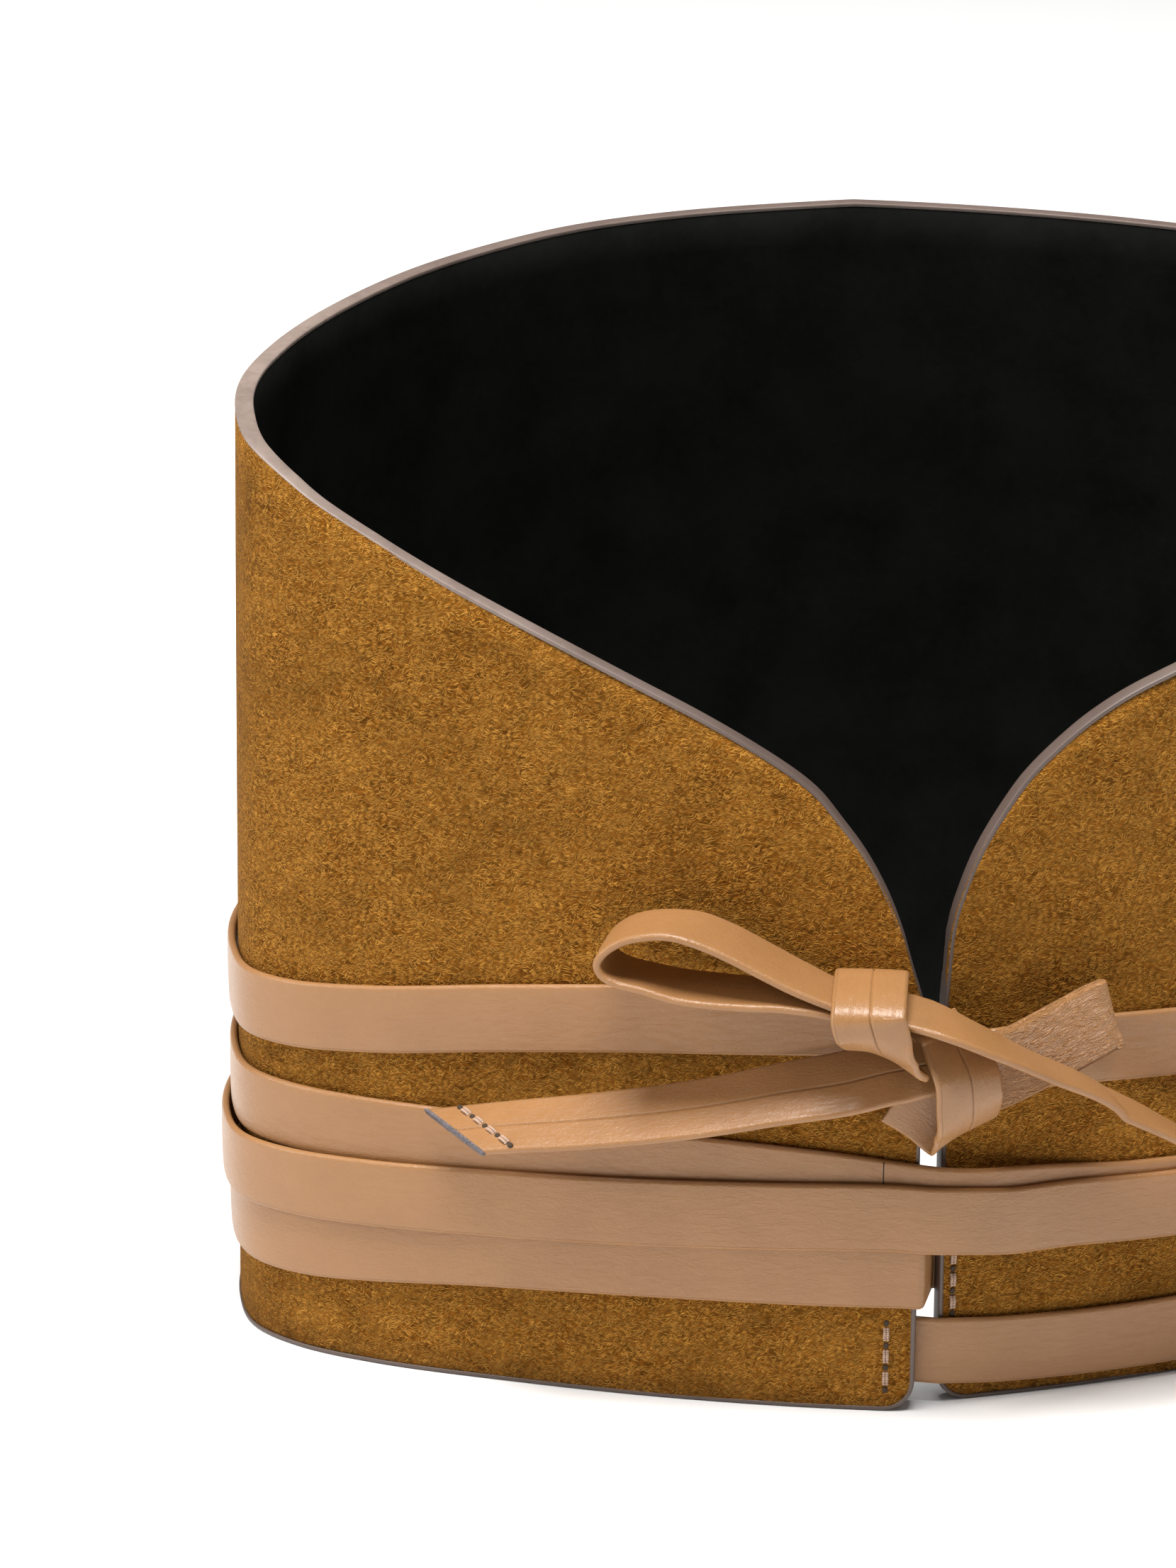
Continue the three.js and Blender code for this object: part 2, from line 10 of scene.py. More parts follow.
import bpy
import numpy as np
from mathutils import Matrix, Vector

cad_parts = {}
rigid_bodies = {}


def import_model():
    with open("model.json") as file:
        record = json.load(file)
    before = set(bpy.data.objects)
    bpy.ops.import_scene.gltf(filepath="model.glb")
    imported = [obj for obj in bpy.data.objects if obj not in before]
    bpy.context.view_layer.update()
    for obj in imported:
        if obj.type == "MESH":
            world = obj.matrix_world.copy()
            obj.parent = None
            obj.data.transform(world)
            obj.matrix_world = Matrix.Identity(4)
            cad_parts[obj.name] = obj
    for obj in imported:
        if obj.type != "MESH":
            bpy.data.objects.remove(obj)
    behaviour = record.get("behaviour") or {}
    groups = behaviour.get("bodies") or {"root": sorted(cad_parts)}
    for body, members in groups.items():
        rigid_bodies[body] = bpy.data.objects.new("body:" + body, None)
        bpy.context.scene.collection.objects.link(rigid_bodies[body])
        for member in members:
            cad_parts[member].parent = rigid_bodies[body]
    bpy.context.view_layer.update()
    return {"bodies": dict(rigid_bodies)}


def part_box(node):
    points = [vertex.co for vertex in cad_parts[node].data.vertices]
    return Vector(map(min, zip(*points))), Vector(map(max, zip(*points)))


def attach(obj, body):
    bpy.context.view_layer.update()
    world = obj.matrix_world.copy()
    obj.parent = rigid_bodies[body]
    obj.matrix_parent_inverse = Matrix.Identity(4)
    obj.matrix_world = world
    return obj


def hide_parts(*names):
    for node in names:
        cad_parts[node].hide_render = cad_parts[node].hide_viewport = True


bl_info = {
    "name": "Corset Belt",
    "version": (1, 0, 0),
    "blender": (4, 5, 0),
    "location": "3D View > Sidebar > Corset Belt",
    "description": "Builds a suede corset belt with wound straps and a bow round its CAD frame",
    "category": "Add Mesh",
}

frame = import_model()
BODY = next(iter(frame["bodies"]))
MM = 0.001
UP = np.array([0, 0, 1.0])

# Sizes of the belt in millimetres, as in the part's own source
BAND_WIDTH = 263
BAND_DEPTH = 173
BACK_HEIGHT = 189.5
FRONT_HEIGHT = 80
LEAN = 3.5
FLAP_GAP = 4.5
CORNER_RADIUS = 6
SUEDE_THICKNESS = 1.7
LINING_THICKNESS = 1.2
STRAP_WIDTH = 13.4
STRAP_THICKNESS = 1.5
SEWN_LENGTH = 11
KNOT_HEIGHT = 76
CLEARANCE = 0.3
STRAP_SEAT = 0.1
WALL = SUEDE_THICKNESS + CLEARANCE + LINING_THICKNESS
FIRST_LAYER = STRAP_SEAT + STRAP_THICKNESS / 2
SECOND_LAYER = FIRST_LAYER + STRAP_THICKNESS + STRAP_SEAT
INSIDE_LAYER = -WALL - FIRST_LAYER
SEAT_SHARE = 0.04
STRAP_A_END = 0.8
STRAP_B_END = 0.85

# The band from above, as shares of half its width and half its depth, from the left flap's edge
# round the back to the right flap's edge
PLAN = [
    (0, -0.465), (-0.198, -0.437), (-0.395, -0.387), (-0.593, -0.315), (-0.78, -0.231),
    (-0.898, -0.145), (-0.964, -0.046), (-0.991, 0.104), (-0.991, 0.312), (-0.949, 0.578),
    (-0.868, 0.855), (-0.745, 1.121), (-0.578, 1.33), (-0.365, 1.468), (-0.122, 1.532),
    (0.122, 1.538), (0.38, 1.486), (0.616, 1.37), (0.798, 1.179), (0.92, 0.925),
    (0.966, 0.647), (0.928, 0.37), (0.814, 0.116), (0.639, -0.081), (0.426, -0.231),
    (0.213, -0.341), (0, -0.416),
]

# The rim: share of the way round from a flap's edge, share of the way up
RIM_FROM_LEFT = [
    (0, 0.01), (0.003, 0.071), (0.006, 0.136), (0.01, 0.2), (0.016, 0.269), (0.022, 0.32),
    (0.029, 0.373), (0.038, 0.415), (0.059, 0.489), (0.081, 0.553), (0.122, 0.669),
    (0.164, 0.794), (0.192, 0.873), (0.222, 0.91), (0.27, 0.927), (0.306, 0.938), (0.34, 0.95),
    (0.375, 0.964), (0.42, 0.983), (0.5, 1),
]
RIM_FROM_RIGHT = [
    (0, 0), (0.0015, 0.12), (0.0045, 0.19), (0.009, 0.259), (0.016, 0.332), (0.022, 0.382),
    (0.031, 0.434), (0.04, 0.475), (0.051, 0.512), (0.07, 0.557), (0.11, 0.652),
    (0.155, 0.784), (0.192, 0.873), (0.222, 0.905), (0.27, 0.925), (0.34, 0.947),
    (0.42, 0.975), (0.5, 1),
]

# The straps' height in strap widths, against the turns made round the belt
STRAP_A_HEIGHTS = [
    (0, 0.82), (0.02, 0.74), (0.065, 0.7), (0.25, 0.85), (0.5, 1.55), (0.81, 2.62),
    (0.85, 2.71), (0.9, 2.81), (0.95, 2.93), (0.985, 2.99), (1, 2.95), (1.02, 2.8),
    (1.044, 2.73), (1.07, 2.69), (1.25, 3.2), (1.5, 4.2), (1.76, 5), (1.81, 5.1),
    (1.84, 5.25), (1.88, 5.5), (1.92, 5.68), (2, 5.85),
]
STRAP_B_HEIGHTS = [
    (0, 2.09), (0.06, 2.05), (0.12, 1.93), (0.19, 1.66), (0.3, 1.7), (0.5, 2.15),
    (0.75, 2.65), (0.935, 2.86), (0.98, 3.12), (1, 3.26), (1.03, 3.42), (1.06, 3.5),
    (1.15, 3.57), (1.25, 3.55), (1.5, 4.05), (1.75, 4.75), (1.935, 5.06), (2, 5.2),
]
LAYER_A = [(0, 0), (0.28, 0), (0.33, 1), (1.72, 1), (1.79, 0), (2, 0)]
LAYER_B = [(0, 0), (2, 0)]

# The bow: along the front, up from the knot and out from the band in strap widths, then the
# direction across the strap, then the slant of a cut
LOOP_LEFT = [
    (-0.8, 0.6, 0.73, (0, 0, 1)), (-1.27, 0.755, 0.73, (0, 0, 1)),
    (-1.774, 0.98, 0.73, (0, -0.06, 1)), (-2.24, 1.215, 0.73, (0, -0.08, 1)),
    (-2.71, 1.45, 0.73, (0, -0.08, 1)), (-3.13, 1.605, 0.73, (0, -0.06, 1)),
    (-3.46, 1.65, 0.73, (0, 0, 1)), (-3.79, 1.617, 0.73, (0, 0, 1)),
    (-4.07, 1.523, 0.73, (0, 0, 1)), (-4.29, 1.353, 0.73, (0, 0, 1)),
    (-4.38, 1.19, 0.73, (0, 0, 1)), (-4.32, 1.035, 0.73, (0, 0, 1)),
    (-4.13, 0.93, 0.73, (0, 0, 1)), (-3.8, 0.865, 0.73, (0, 0, 1)),
    (-3.4, 0.784, 0.73, (0, -0.05, 1)), (-3.01, 0.752, 0.73, (0, -0.07, 1)),
    (-2.49, 0.735, 0.73, (0, -0.05, 1)), (-1.97, 0.722, 0.73, (0, 0, 1)),
    (-1.4, 0.65, 0.71, (0, 0, 1)), (-1.15, 0.56, 0.68, (0, 0, 1)),
    (-0.9, 0.46, 0.655, (0, 0, 1)),
]
TAIL_RIGHT = [
    (-0.58, 0.63, 0.73, (0, 0, 1)), (-0.35, 0.61, 0.79, (0, 0, 1)),
    (-0.1, 0.57, 0.93, (0, -0.03, 1)), (0.08, 0.485, 1, (0, -0.06, 1)),
    (0.44, 0.215, 1.06, (0, -0.09, 1)), (1, -0.21, 1.09, (0, -0.11, 1)),
    (1.35, -0.42, 1.1, (0, -0.1, 1)), (2.1, -0.83, 1.1, (0, -0.08, 1)),
    (2.78, -1.23, 1.08, (0, -0.05, 1)), (3.6, -1.76, 1.05, (0, 0, 1)),
    (4.7, -2.3, 1.02, (0, 0, 1)), (5.6, -2.7, 1.02, (0, 0, 1)),
    (5.95, -2.85, 1.02, (0, 0, 1), -0.5),
]
TAIL_LEFT = [
    (0.04, -0.21, 0.52, (0, -0.62, 0.79)), (-0.31, -0.33, 0.52, (0, -0.62, 0.79)),
    (-0.64, -0.4, 0.55, (0, -0.62, 0.79)), (-1.15, -0.535, 0.6, (0, -0.62, 0.79)),
    (-1.99, -0.715, 0.64, (0, -0.56, 0.83)), (-3.01, -0.96, 0.7, (0, -0.49, 0.87)),
    (-4.6, -1.29, 0.72, (0, -0.43, 0.9)), (-5.7, -1.49, 0.72, (0, -0.37, 0.93)),
    (-6.45, -1.65, 0.72, (0, -0.36, 0.93), -0.52),
]
LOOP_RIGHT = [
    (0.6, -0.485, 0.52, (0, 0.97, -0.2)), (0.8, -0.43, 0.52, (0, 0.97, -0.2)),
    (1.3, -0.28, 0.52, (0, 0.97, -0.2)), (1.9, -0.1, 0.52, (0, 0.97, -0.2)),
    (2.36, 0.05, 0.5, (-0.14, 0.97, -0.2)), (2.49, 0.06, 0.42, (-0.22, 0.97, -0.17)),
    (2.36, -0.02, 0.33, (-0.14, 0.97, -0.2)), (1.9, -0.18, 0.32, (0, 0.97, -0.2)),
    (1.3, -0.36, 0.32, (0, 0.97, -0.2)), (0.8, -0.51, 0.32, (0, 0.97, -0.2)),
    (0.6, -0.565, 0.32, (0, 0.97, -0.2)),
]
KNOT_WRAP = [
    (-0.86, 0.83, 0.12, (1, 0, 0)), (-0.86, 0.935, 0.31, (1, 0, 0)),
    (-0.86, 0.94, 0.72, (1, 0, 0)), (-0.86, 0.9, 1.14, (1, 0, 0)),
    (-0.86, 0.81, 1.39, (1, 0, 0)), (-0.861, 0.73, 1.46, (1, 0, 0)),
    (-0.802, 0.509, 1.43, (0.97, -0.15, -0.1)), (-0.729, 0.288, 1.28, (0.88, -0.4, -0.2)),
    (-0.562, 0.076, 1.05, (0.86, -0.48, -0.15)), (-0.355, -0.095, 0.84, (0.84, -0.52, -0.1)),
]
KNOT_TUCK = [
    (-0.08, 0.38, 0.52, (0.9, -0.25, -0.3)),
    (0.074, 0.222, 0.7, (0.9, -0.25, -0.3)), (0.144, 0.025, 0.87, (0.92, -0.2, -0.3)),
    (0.223, -0.255, 1.02, (0.92, -0.05, -0.3)), (0.252, -0.585, 1.02, (0.92, 0.05, -0.25)),
    (0.281, -0.938, 0.85, (0.92, 0.3, -0.2)), (0.269, -1.167, 0.6, (0.9, 0.42, 0)),
    (0.172, -1.2, 0.36, (0.8, 0.58, 0)), (-0.055, -1.03, 0.26, (0.65, 0.76, 0)),
    (-0.449, -0.795, 0.24, (0.6, 0.8, 0)),
]

# Fine sizes that only show here, in millimetres
COLUMN_STEP = 2.0
STRAP_STEP = 2.0
BOW_STEPS = 14
EDGE_STEP = 1.6
EDGE_INSET = 0.4
EDGE_LAP = 0.9
EDGE_PROUD = 0.12
EDGE_CROWN = 0.35
SEAM_WIDTH = 0.34
SEAM_DEPTH = 0.32
SEAM_OFFSET = 0.35
SEAM_FOOT = 0.05
STRAP_CROWN = 0.1
STITCH_PITCH = 4.5
STITCH_LENGTH = 2.8
LEFT_STITCH = 5.4
LEFT_FOOT = 4.4
RIGHT_STITCH = 2.7
RIGHT_FOOT = 17.9
THREAD_RADIUS = 0.3
HOLE_RADIUS = 0.62
THREAD_RISE = 0.28
THREAD_DIVE = 0.6
TAIL_STITCH_INSET = 6.2
HOLE_RINGS = ((-0.3, 1), (0.06, 1), (0.1, 0.7))
RAW_EDGE = 0.22
RAW_LAP = 0.3
JOIN_PAST_GAP = 6.5
JOIN_RADIUS = 0.13
SEWN_LEAD = 6
TURN_ANGLE = 70
WAVE_DEPTH = 0.18
SWAY_OUT = 0.05
SWAY_UP = 0.12

# Counts of steps, holes and sides, and where the camera stands
FLAP_HOLES = 4
PLAN_SAMPLES = 60
BRIDGE_SAMPLES = 120
RIM_SAMPLES = 4000
CORNER_STEPS = 8
CROWN_STEPS = 13
SIDE_STEPS = 7
SUEDE_ROWS = 30
LINING_ROWS = 24
TUBE_SIDES = 8
HOLE_SIDES = 12
EDGE_COLUMNS = (EDGE_INSET, 0.8, 1.3, 2, 2.8, 3.8, 5, 6.2, 7.5)
INNER_MAP_SHIFT = 0.5
CAMERA_PLACE = (-62.7, -900, 437.07)


def unit(v):
    return v / np.linalg.norm(v)


def stretches(points):
    """Four neighbours for each stretch of a curve, whose ends are carried on straight."""
    points = np.asarray(points, float)
    padded = np.vstack([2 * points[0] - points[1], points, 2 * points[-1] - points[-2]])
    return zip(padded, padded[1:], padded[2:], padded[3:])


def centripetal(points, samples):
    """Points on a centripetal Catmull-Rom curve, samples to each stretch."""
    out = []
    for a, b, c, d in stretches(points):
        gaps = [max(np.dot(q - p, q - p) ** 0.25, 1e-4) for p, q in ((a, b), (b, c), (c, d))]
        leave = ((b - a) / gaps[0] - (c - a) / (gaps[0] + gaps[1]) + (c - b) / gaps[1]) * gaps[1]
        arrive = ((c - b) / gaps[1] - (d - b) / (gaps[1] + gaps[2]) + (d - c) / gaps[2]) * gaps[1]
        for t in np.arange(samples) / samples:
            out.append(b + leave * t + (3 * (c - b) - 2 * leave - arrive) * t * t
                       + (2 * (b - c) + leave + arrive) * t ** 3)
    out.append(points[-1])
    return np.array(out)


def uniform_rows(points, samples):
    """The same curve with even knots, for directions."""
    out = []
    for a, b, c, d in stretches(points):
        for t in np.arange(samples) / samples:
            out.append(b + (c - a) / 2 * t + (a - 2.5 * b + 2 * c - d / 2) * t * t
                       + (1.5 * (b - c) + (d - a) / 2) * t ** 3)
    out.append(points[-1])
    return np.array(out)


def read_table(table, position):
    """A smooth value from a table of (position, value) that never overshoots."""
    i = 0
    while i < len(table) - 2 and table[i + 1][0] < position:
        i += 1
    a, b = table[i], table[i + 1]
    before, after = table[max(i - 1, 0)], table[min(i + 2, len(table) - 1)]
    span = b[0] - a[0]
    t = min(max((position - a[0]) / span, 0), 1)
    slope = (b[1] - a[1]) / span
    leave, arrive = joined_slope(before, a, slope), joined_slope(b, after, slope)
    return (a[1] * (2 * t ** 3 - 3 * t * t + 1) + b[1] * (3 * t * t - 2 * t ** 3)
            + span * (leave * (t ** 3 - 2 * t * t + t) + arrive * (t ** 3 - t * t)))


def joined_slope(a, b, slope):
    """The slope where a stretch from a to b meets one of the given slope."""
    width = b[0] - a[0]
    if width <= 0:
        return slope
    other = (b[1] - a[1]) / width
    return 0 if slope * other <= 0 else 2 * slope * other / (slope + other)


class Line:
    """A plan line measured by distance along it."""

    def __init__(self, points):
        self.points = points
        steps = np.linalg.norm(np.diff(points, axis=0), axis=1)
        self.reached = np.concatenate([[0], np.cumsum(steps)])
        self.length = self.reached[-1]
        tangents = np.gradient(points, self.reached, axis=0)
        self.tangents = tangents / np.linalg.norm(tangents, axis=1)[:, None]

    def at(self, distance):
        """The point and the outward direction at a distance; past an end it runs on straight."""
        inside = min(max(distance, 0), self.length)
        point = np.array([np.interp(inside, self.reached, self.points[:, k]) for k in (0, 1)])
        tangent = unit(np.array([np.interp(inside, self.reached, self.tangents[:, k])
                                 for k in (0, 1)]))
        point = point + tangent * (distance - inside)
        return point, np.array([-tangent[1], tangent[0]])


def make_band_line():
    half = np.array([BAND_WIDTH / 2, BAND_DEPTH / 2])
    points = np.array(PLAN) * half
    points[0, 0], points[-1, 0] = -FLAP_GAP / 2, FLAP_GAP / 2
    return Line(centripetal(points, PLAN_SAMPLES))


BAND = make_band_line()
PERIMETER = BAND.length
SEAT = SEAT_SHARE * PERIMETER


def make_bridge():
    """The straps' way across the front opening."""
    start, leave = BAND.at(PERIMETER - SEAT)
    end, arrive = BAND.at(0)
    reach = np.linalg.norm(end - start) / 3
    near = start + np.array([leave[1], -leave[0]]) * reach
    far = end - np.array([arrive[1], -arrive[0]]) * reach
    t = np.linspace(0, 1, BRIDGE_SAMPLES)[:, None]
    return Line(start * (1 - t) ** 3 + 3 * near * t * (1 - t) ** 2
                + 3 * far * t * t * (1 - t) + end * t ** 3)


BRIDGE = make_bridge()
LOOP_LENGTH = PERIMETER - SEAT + BRIDGE.length


def wrap_at(distance):
    """The straps' line, clockwise from the left flap's edge."""
    d = distance % LOOP_LENGTH
    return BAND.at(d) if d <= PERIMETER - SEAT else BRIDGE.at(d - PERIMETER + SEAT)


def place(line, out, height):
    """A place on the belt, moved out from a line and up, with the wall's lean."""
    point, normal = line
    flat = point + normal * (out - LEAN * height / BACK_HEIGHT)
    return np.array([flat[0], flat[1], height])


def level_normal(line):
    """The outward direction of a place on a line, as a level vector."""
    return np.array([*line[1], 0])


def run_along(points):
    """The distance run at each of a row of points."""
    return np.cumsum([0] + [math.dist(a, b) for a, b in zip(points, points[1:])])


def band_centre():
    """The middle of the band in the part's own coordinates, from which the frame is offset."""
    outline = np.array([place(BAND.at(d), 0, 0)[:2] for d in np.arange(0, PERIMETER, 1.0)])
    return (outline.min(axis=0) + outline.max(axis=0)) / 2


def frame_offset():
    low, high = (np.array(corner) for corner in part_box("suede_band"))
    middle = (low[:2] + high[:2]) / 2 / MM - band_centre()
    return np.array([middle[0], middle[1], low[2] / MM])


OFFSET = frame_offset()


def rim_height(distance):
    share = min(max(distance / PERIMETER, 0), 1)
    up = read_table(RIM_FROM_LEFT, share) if share <= 0.5 else read_table(RIM_FROM_RIGHT, 1 - share)
    return FRONT_HEIGHT + up * (BACK_HEIGHT - FRONT_HEIGHT)


def foot_height(distance):
    from_edge = min(distance, PERIMETER - distance)
    rest = max(CORNER_RADIUS - from_edge, 0)
    return CORNER_RADIUS - math.sqrt(CORNER_RADIUS ** 2 - rest ** 2)


def object_from(name, points, faces, uvs, material):
    """A mesh object from points in millimetres of the part, with a UV in metres at each point."""
    mesh = bpy.data.meshes.new(name)
    shifted = (np.asarray(points, float) + OFFSET) * MM
    mesh.from_pydata([tuple(p) for p in shifted], [], faces)
    mesh.update()
    layer = mesh.uv_layers.new(name="UVMap")
    for loop in mesh.loops:
        layer.data[loop.index].uv = uvs[loop.vertex_index]
    mesh.polygons.foreach_set("use_smooth", [True] * len(mesh.polygons))
    mesh.materials.append(material)
    piece = bpy.data.objects.new(name, mesh)
    bpy.context.scene.collection.objects.link(piece)
    return piece


def loft(name, rings, along, around, material, closed=False):
    """A solid through a row of rings. Along and around give the UV in millimetres."""
    rings = np.asarray(rings)
    count, sides = rings.shape[:2]
    points = rings.reshape(-1, 3)
    faces = []
    for i in range(count if closed else count - 1):
        n = (i + 1) % count
        for j in range(sides):
            k = (j + 1) % sides
            faces.append((i * sides + j, n * sides + j, n * sides + k, i * sides + k))
    if not closed:
        faces.append(tuple(range(sides)))
        faces.append(tuple(range((count - 1) * sides, count * sides))[::-1])
    if signed_volume(points, faces) < 0:
        faces = [face[::-1] for face in faces]
    uvs = [(a * MM, r * MM) for a in along for r in around]
    return object_from(name, points, faces, uvs, material)


def signed_volume(points, faces):
    total = 0.0
    for face in faces:
        a = points[face[0]]
        for b, c in zip(face[1:], face[2:]):
            total += np.dot(a, np.cross(points[b], points[c]))
    return total


def finish_piece(piece, slot, *nodes):
    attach(piece, BODY)
    if nodes:
        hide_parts(*nodes)
    return piece


# Materials

class Wiring:
    """Short ways to add and link nodes in one tree."""

    def __init__(self, tree):
        self.tree = tree

    def add(self, kind, inputs=None, **settings):
        node = self.tree.nodes.new(kind)
        for key, value in settings.items():
            setattr(node, key, value)
        for key, value in (inputs or {}).items():
            self.put(node.inputs[key], value)
        return node

    def put(self, socket, value):
        if isinstance(value, bpy.types.NodeSocket):
            self.tree.links.new(value, socket)
        else:
            socket.default_value = value

    def math(self, operation, a, b=0.0):
        return self.add("ShaderNodeMath", {0: a, 1: b}, operation=operation).outputs[0]

    def ramp(self, value, low, high):
        node = self.add("ShaderNodeMapRange",
                        {"Value": value, "From Min": low, "From Max": high})
        return node.outputs[0]

    def noise(self, vector, scale, detail=2.0, roughness=0.5, distortion=0.0):
        node = self.add("ShaderNodeTexNoise", {
            "Vector": vector, "Scale": scale, "Detail": detail, "Roughness": roughness,
            "Distortion": distortion})
        return node.outputs["Fac"]

    def warped(self, vector, scale, detail, reach):
        """The vector, moved about by a noise of three channels."""
        wander = self.add("ShaderNodeTexNoise", {"Vector": vector, "Scale": scale,
                                                 "Detail": detail})
        shift = self.add("ShaderNodeVectorMath", {0: wander.outputs["Color"], 1: reach},
                         operation="MULTIPLY")
        bent = self.add("ShaderNodeVectorMath", {0: vector, 1: shift.outputs[0]}, operation="ADD")
        return bent.outputs[0]

    def mix(self, factor, a, b, blend="MIX"):
        node = self.add("ShaderNodeMix", data_type="RGBA", blend_type=blend)
        self.put(node.inputs[0], factor)
        self.put(node.inputs[6], a)
        self.put(node.inputs[7], b)
        return node.outputs[2]

    def tint(self, base, mask, amount, colour):
        """The base colour with a share of another where the mask is."""
        return self.mix(self.math("MULTIPLY", mask, amount), base, colour)

    def group(self, name, inputs):
        node = self.add("ShaderNodeGroup", node_tree=bpy.data.node_groups[name])
        for key, value in inputs.items():
            self.put(node.inputs[key], value)
        return node.outputs


def make_group(name, inputs, outputs):
    """An empty node group, as its wiring, what it is given and what it puts out.

    Inputs are (name, default). A default of None is a vector.
    """
    group = bpy.data.node_groups.new(name, "ShaderNodeTree")
    for label, default in inputs:
        kind = "NodeSocketVector" if default is None else "NodeSocketFloat"
        socket = group.interface.new_socket(label, in_out="INPUT", socket_type=kind)
        if default is not None:
            socket.default_value = default
    for label in outputs:
        group.interface.new_socket(label, in_out="OUTPUT", socket_type="NodeSocketFloat")
    w = Wiring(group)
    return w, w.add("NodeGroupInput").outputs, w.add("NodeGroupOutput").inputs


def make_fibre_group():
    """Short brushed fibres lying at several angles on a flat map, as mask and height."""
    w, given, result = make_group(
        "short_fibres", [("Map", None), ("Length", 1.6), ("Width", 0.22), ("Amount", 0.5)],
        ["Fibres", "Height"])
    bent = w.warped(given["Map"], 260.0, 1.0, (0.0022, 0.0022, 0))
    strongest = None
    for angle, offset in ((0.0, 0.11), (0.42, 0.23), (-0.48, 0.37), (1.05, 0.53)):
        turned = w.add("ShaderNodeMapping", {
            "Vector": bent, "Rotation": (0, 0, angle), "Location": (offset, offset, 0)})
        parts = w.add("ShaderNodeSeparateXYZ", {0: turned.outputs[0]})
        along = w.math("DIVIDE", parts.outputs[0], w.math("MULTIPLY", given["Length"], MM))
        across = w.math("DIVIDE", parts.outputs[1], w.math("MULTIPLY", given["Width"], MM))
        cell = w.add("ShaderNodeCombineXYZ", {0: along, 1: across})
        spots = w.add("ShaderNodeTexVoronoi", {"Vector": cell.outputs[0], "Scale": 1.0},
                      voronoi_dimensions="2D")
        pick = w.add("ShaderNodeSeparateXYZ", {0: spots.outputs["Color"]})
        chosen = w.ramp(pick.outputs[0], 0.58, 0.95)
        body = w.ramp(spots.outputs["Distance"], 0.55, 0.1)
        fibre = w.math("MULTIPLY", chosen, body)
        strongest = fibre if strongest is None else w.math("MAXIMUM", strongest, fibre)
    fine = w.noise(given["Map"], 2600.0, 2.0, 0.6)
    w.put(result["Fibres"], w.math("MULTIPLY", strongest, given["Amount"]))
    w.put(result["Height"], w.math("ADD", strongest, w.math("MULTIPLY", fine, 0.5)))


def make_grain_group():
    """Fine pebbled leather grain with larger soft hollows, as height and mottle."""
    w, given, result = make_group(
        "leather_grain", [("Map", None), ("Pebble", 0.55), ("Crease", 0.3)],
        ["Height", "Mottle"])
    size = w.math("DIVIDE", 1.0 / MM, given["Pebble"])
    bent = w.warped(given["Map"], 900.0, 2.0, (0.0006, 0.0006, 0.0006))
    pebbles = w.add("ShaderNodeTexVoronoi", {"Vector": bent, "Scale": size},
                    feature="SMOOTH_F1")
    dome = w.ramp(pebbles.outputs["Distance"], 0.75, 0.0)
    crease = w.noise(given["Map"], 420.0, 3.0, 0.55, 0.8)
    broad = w.noise(given["Map"], 60.0, 3.0, 0.5)
    w.put(result["Height"], w.math("ADD", w.math("MULTIPLY", dome, 0.6),
                                   w.math("MULTIPLY", crease, given["Crease"])))
    w.put(result["Mottle"], w.math("ADD", w.math("MULTIPLY", broad, 0.7),
                                   w.math("MULTIPLY", crease, 0.3)))


def make_crease_group():
    """Creases drawn out along a strap, as height. The map runs along it and then across."""
    w, given, result = make_group("drawn_creases", [("Map", None), ("Size", 1.1)], ["Height"])
    drawn = w.add("ShaderNodeMapping", {"Vector": given["Map"], "Scale": (0.32, 1.0, 1.0)})
    scale = w.math("DIVIDE", 1.0 / MM, given["Size"])
    waves = w.noise(drawn.outputs[0], scale, 4.0, 0.62, 1.1)
    fold = w.math("ABSOLUTE", w.math("SUBTRACT", waves, 0.5))
    w.put(result["Height"], w.ramp(fold, 0.0, 0.16))


def make_wear_group():
    """Rubbed places and dust, as a mask that varies softly over the surface."""
    w, given, result = make_group("rubbed_wear", [("Map", None), ("Size", 18.0)], ["Wear"])
    scale = w.math("DIVIDE", 1.0 / MM, given["Size"])
    cloud = w.noise(given["Map"], scale, 4.0, 0.6, 0.4)
    w.put(result["Wear"], w.ramp(cloud, 0.38, 0.72))


def new_material(name):
    """A new material, as its wiring, its shader and its texture coordinates."""
    material = bpy.data.materials.new(name)
    material.use_nodes = True
    w = Wiring(material.node_tree)
    shader = material.node_tree.nodes["Principled BSDF"]
    return w, shader, w.add("ShaderNodeTexCoord").outputs


def set_finish(w, shader, base, roughness, specular=0.5):
    w.put(shader.inputs["Base Color"], base)
    w.put(shader.inputs["Roughness"], roughness)
    shader.inputs["Specular IOR Level"].default_value = specular


def bump(w, shader, height, strength, distance):
    node = w.add("ShaderNodeBump", {"Height": height, "Strength": strength,
                                    "Distance": distance * MM})
    w.put(shader.inputs["Normal"], node.outputs[0])


def leather_grain(w, point, pebble, crease):
    return w.group("leather_grain", {"Map": point["Object"], "Pebble": pebble, "Crease": crease})


def rubbed_wear(w, point, size):
    return w.group("rubbed_wear", {"Map": point["Object"], "Size": size})["Wear"]


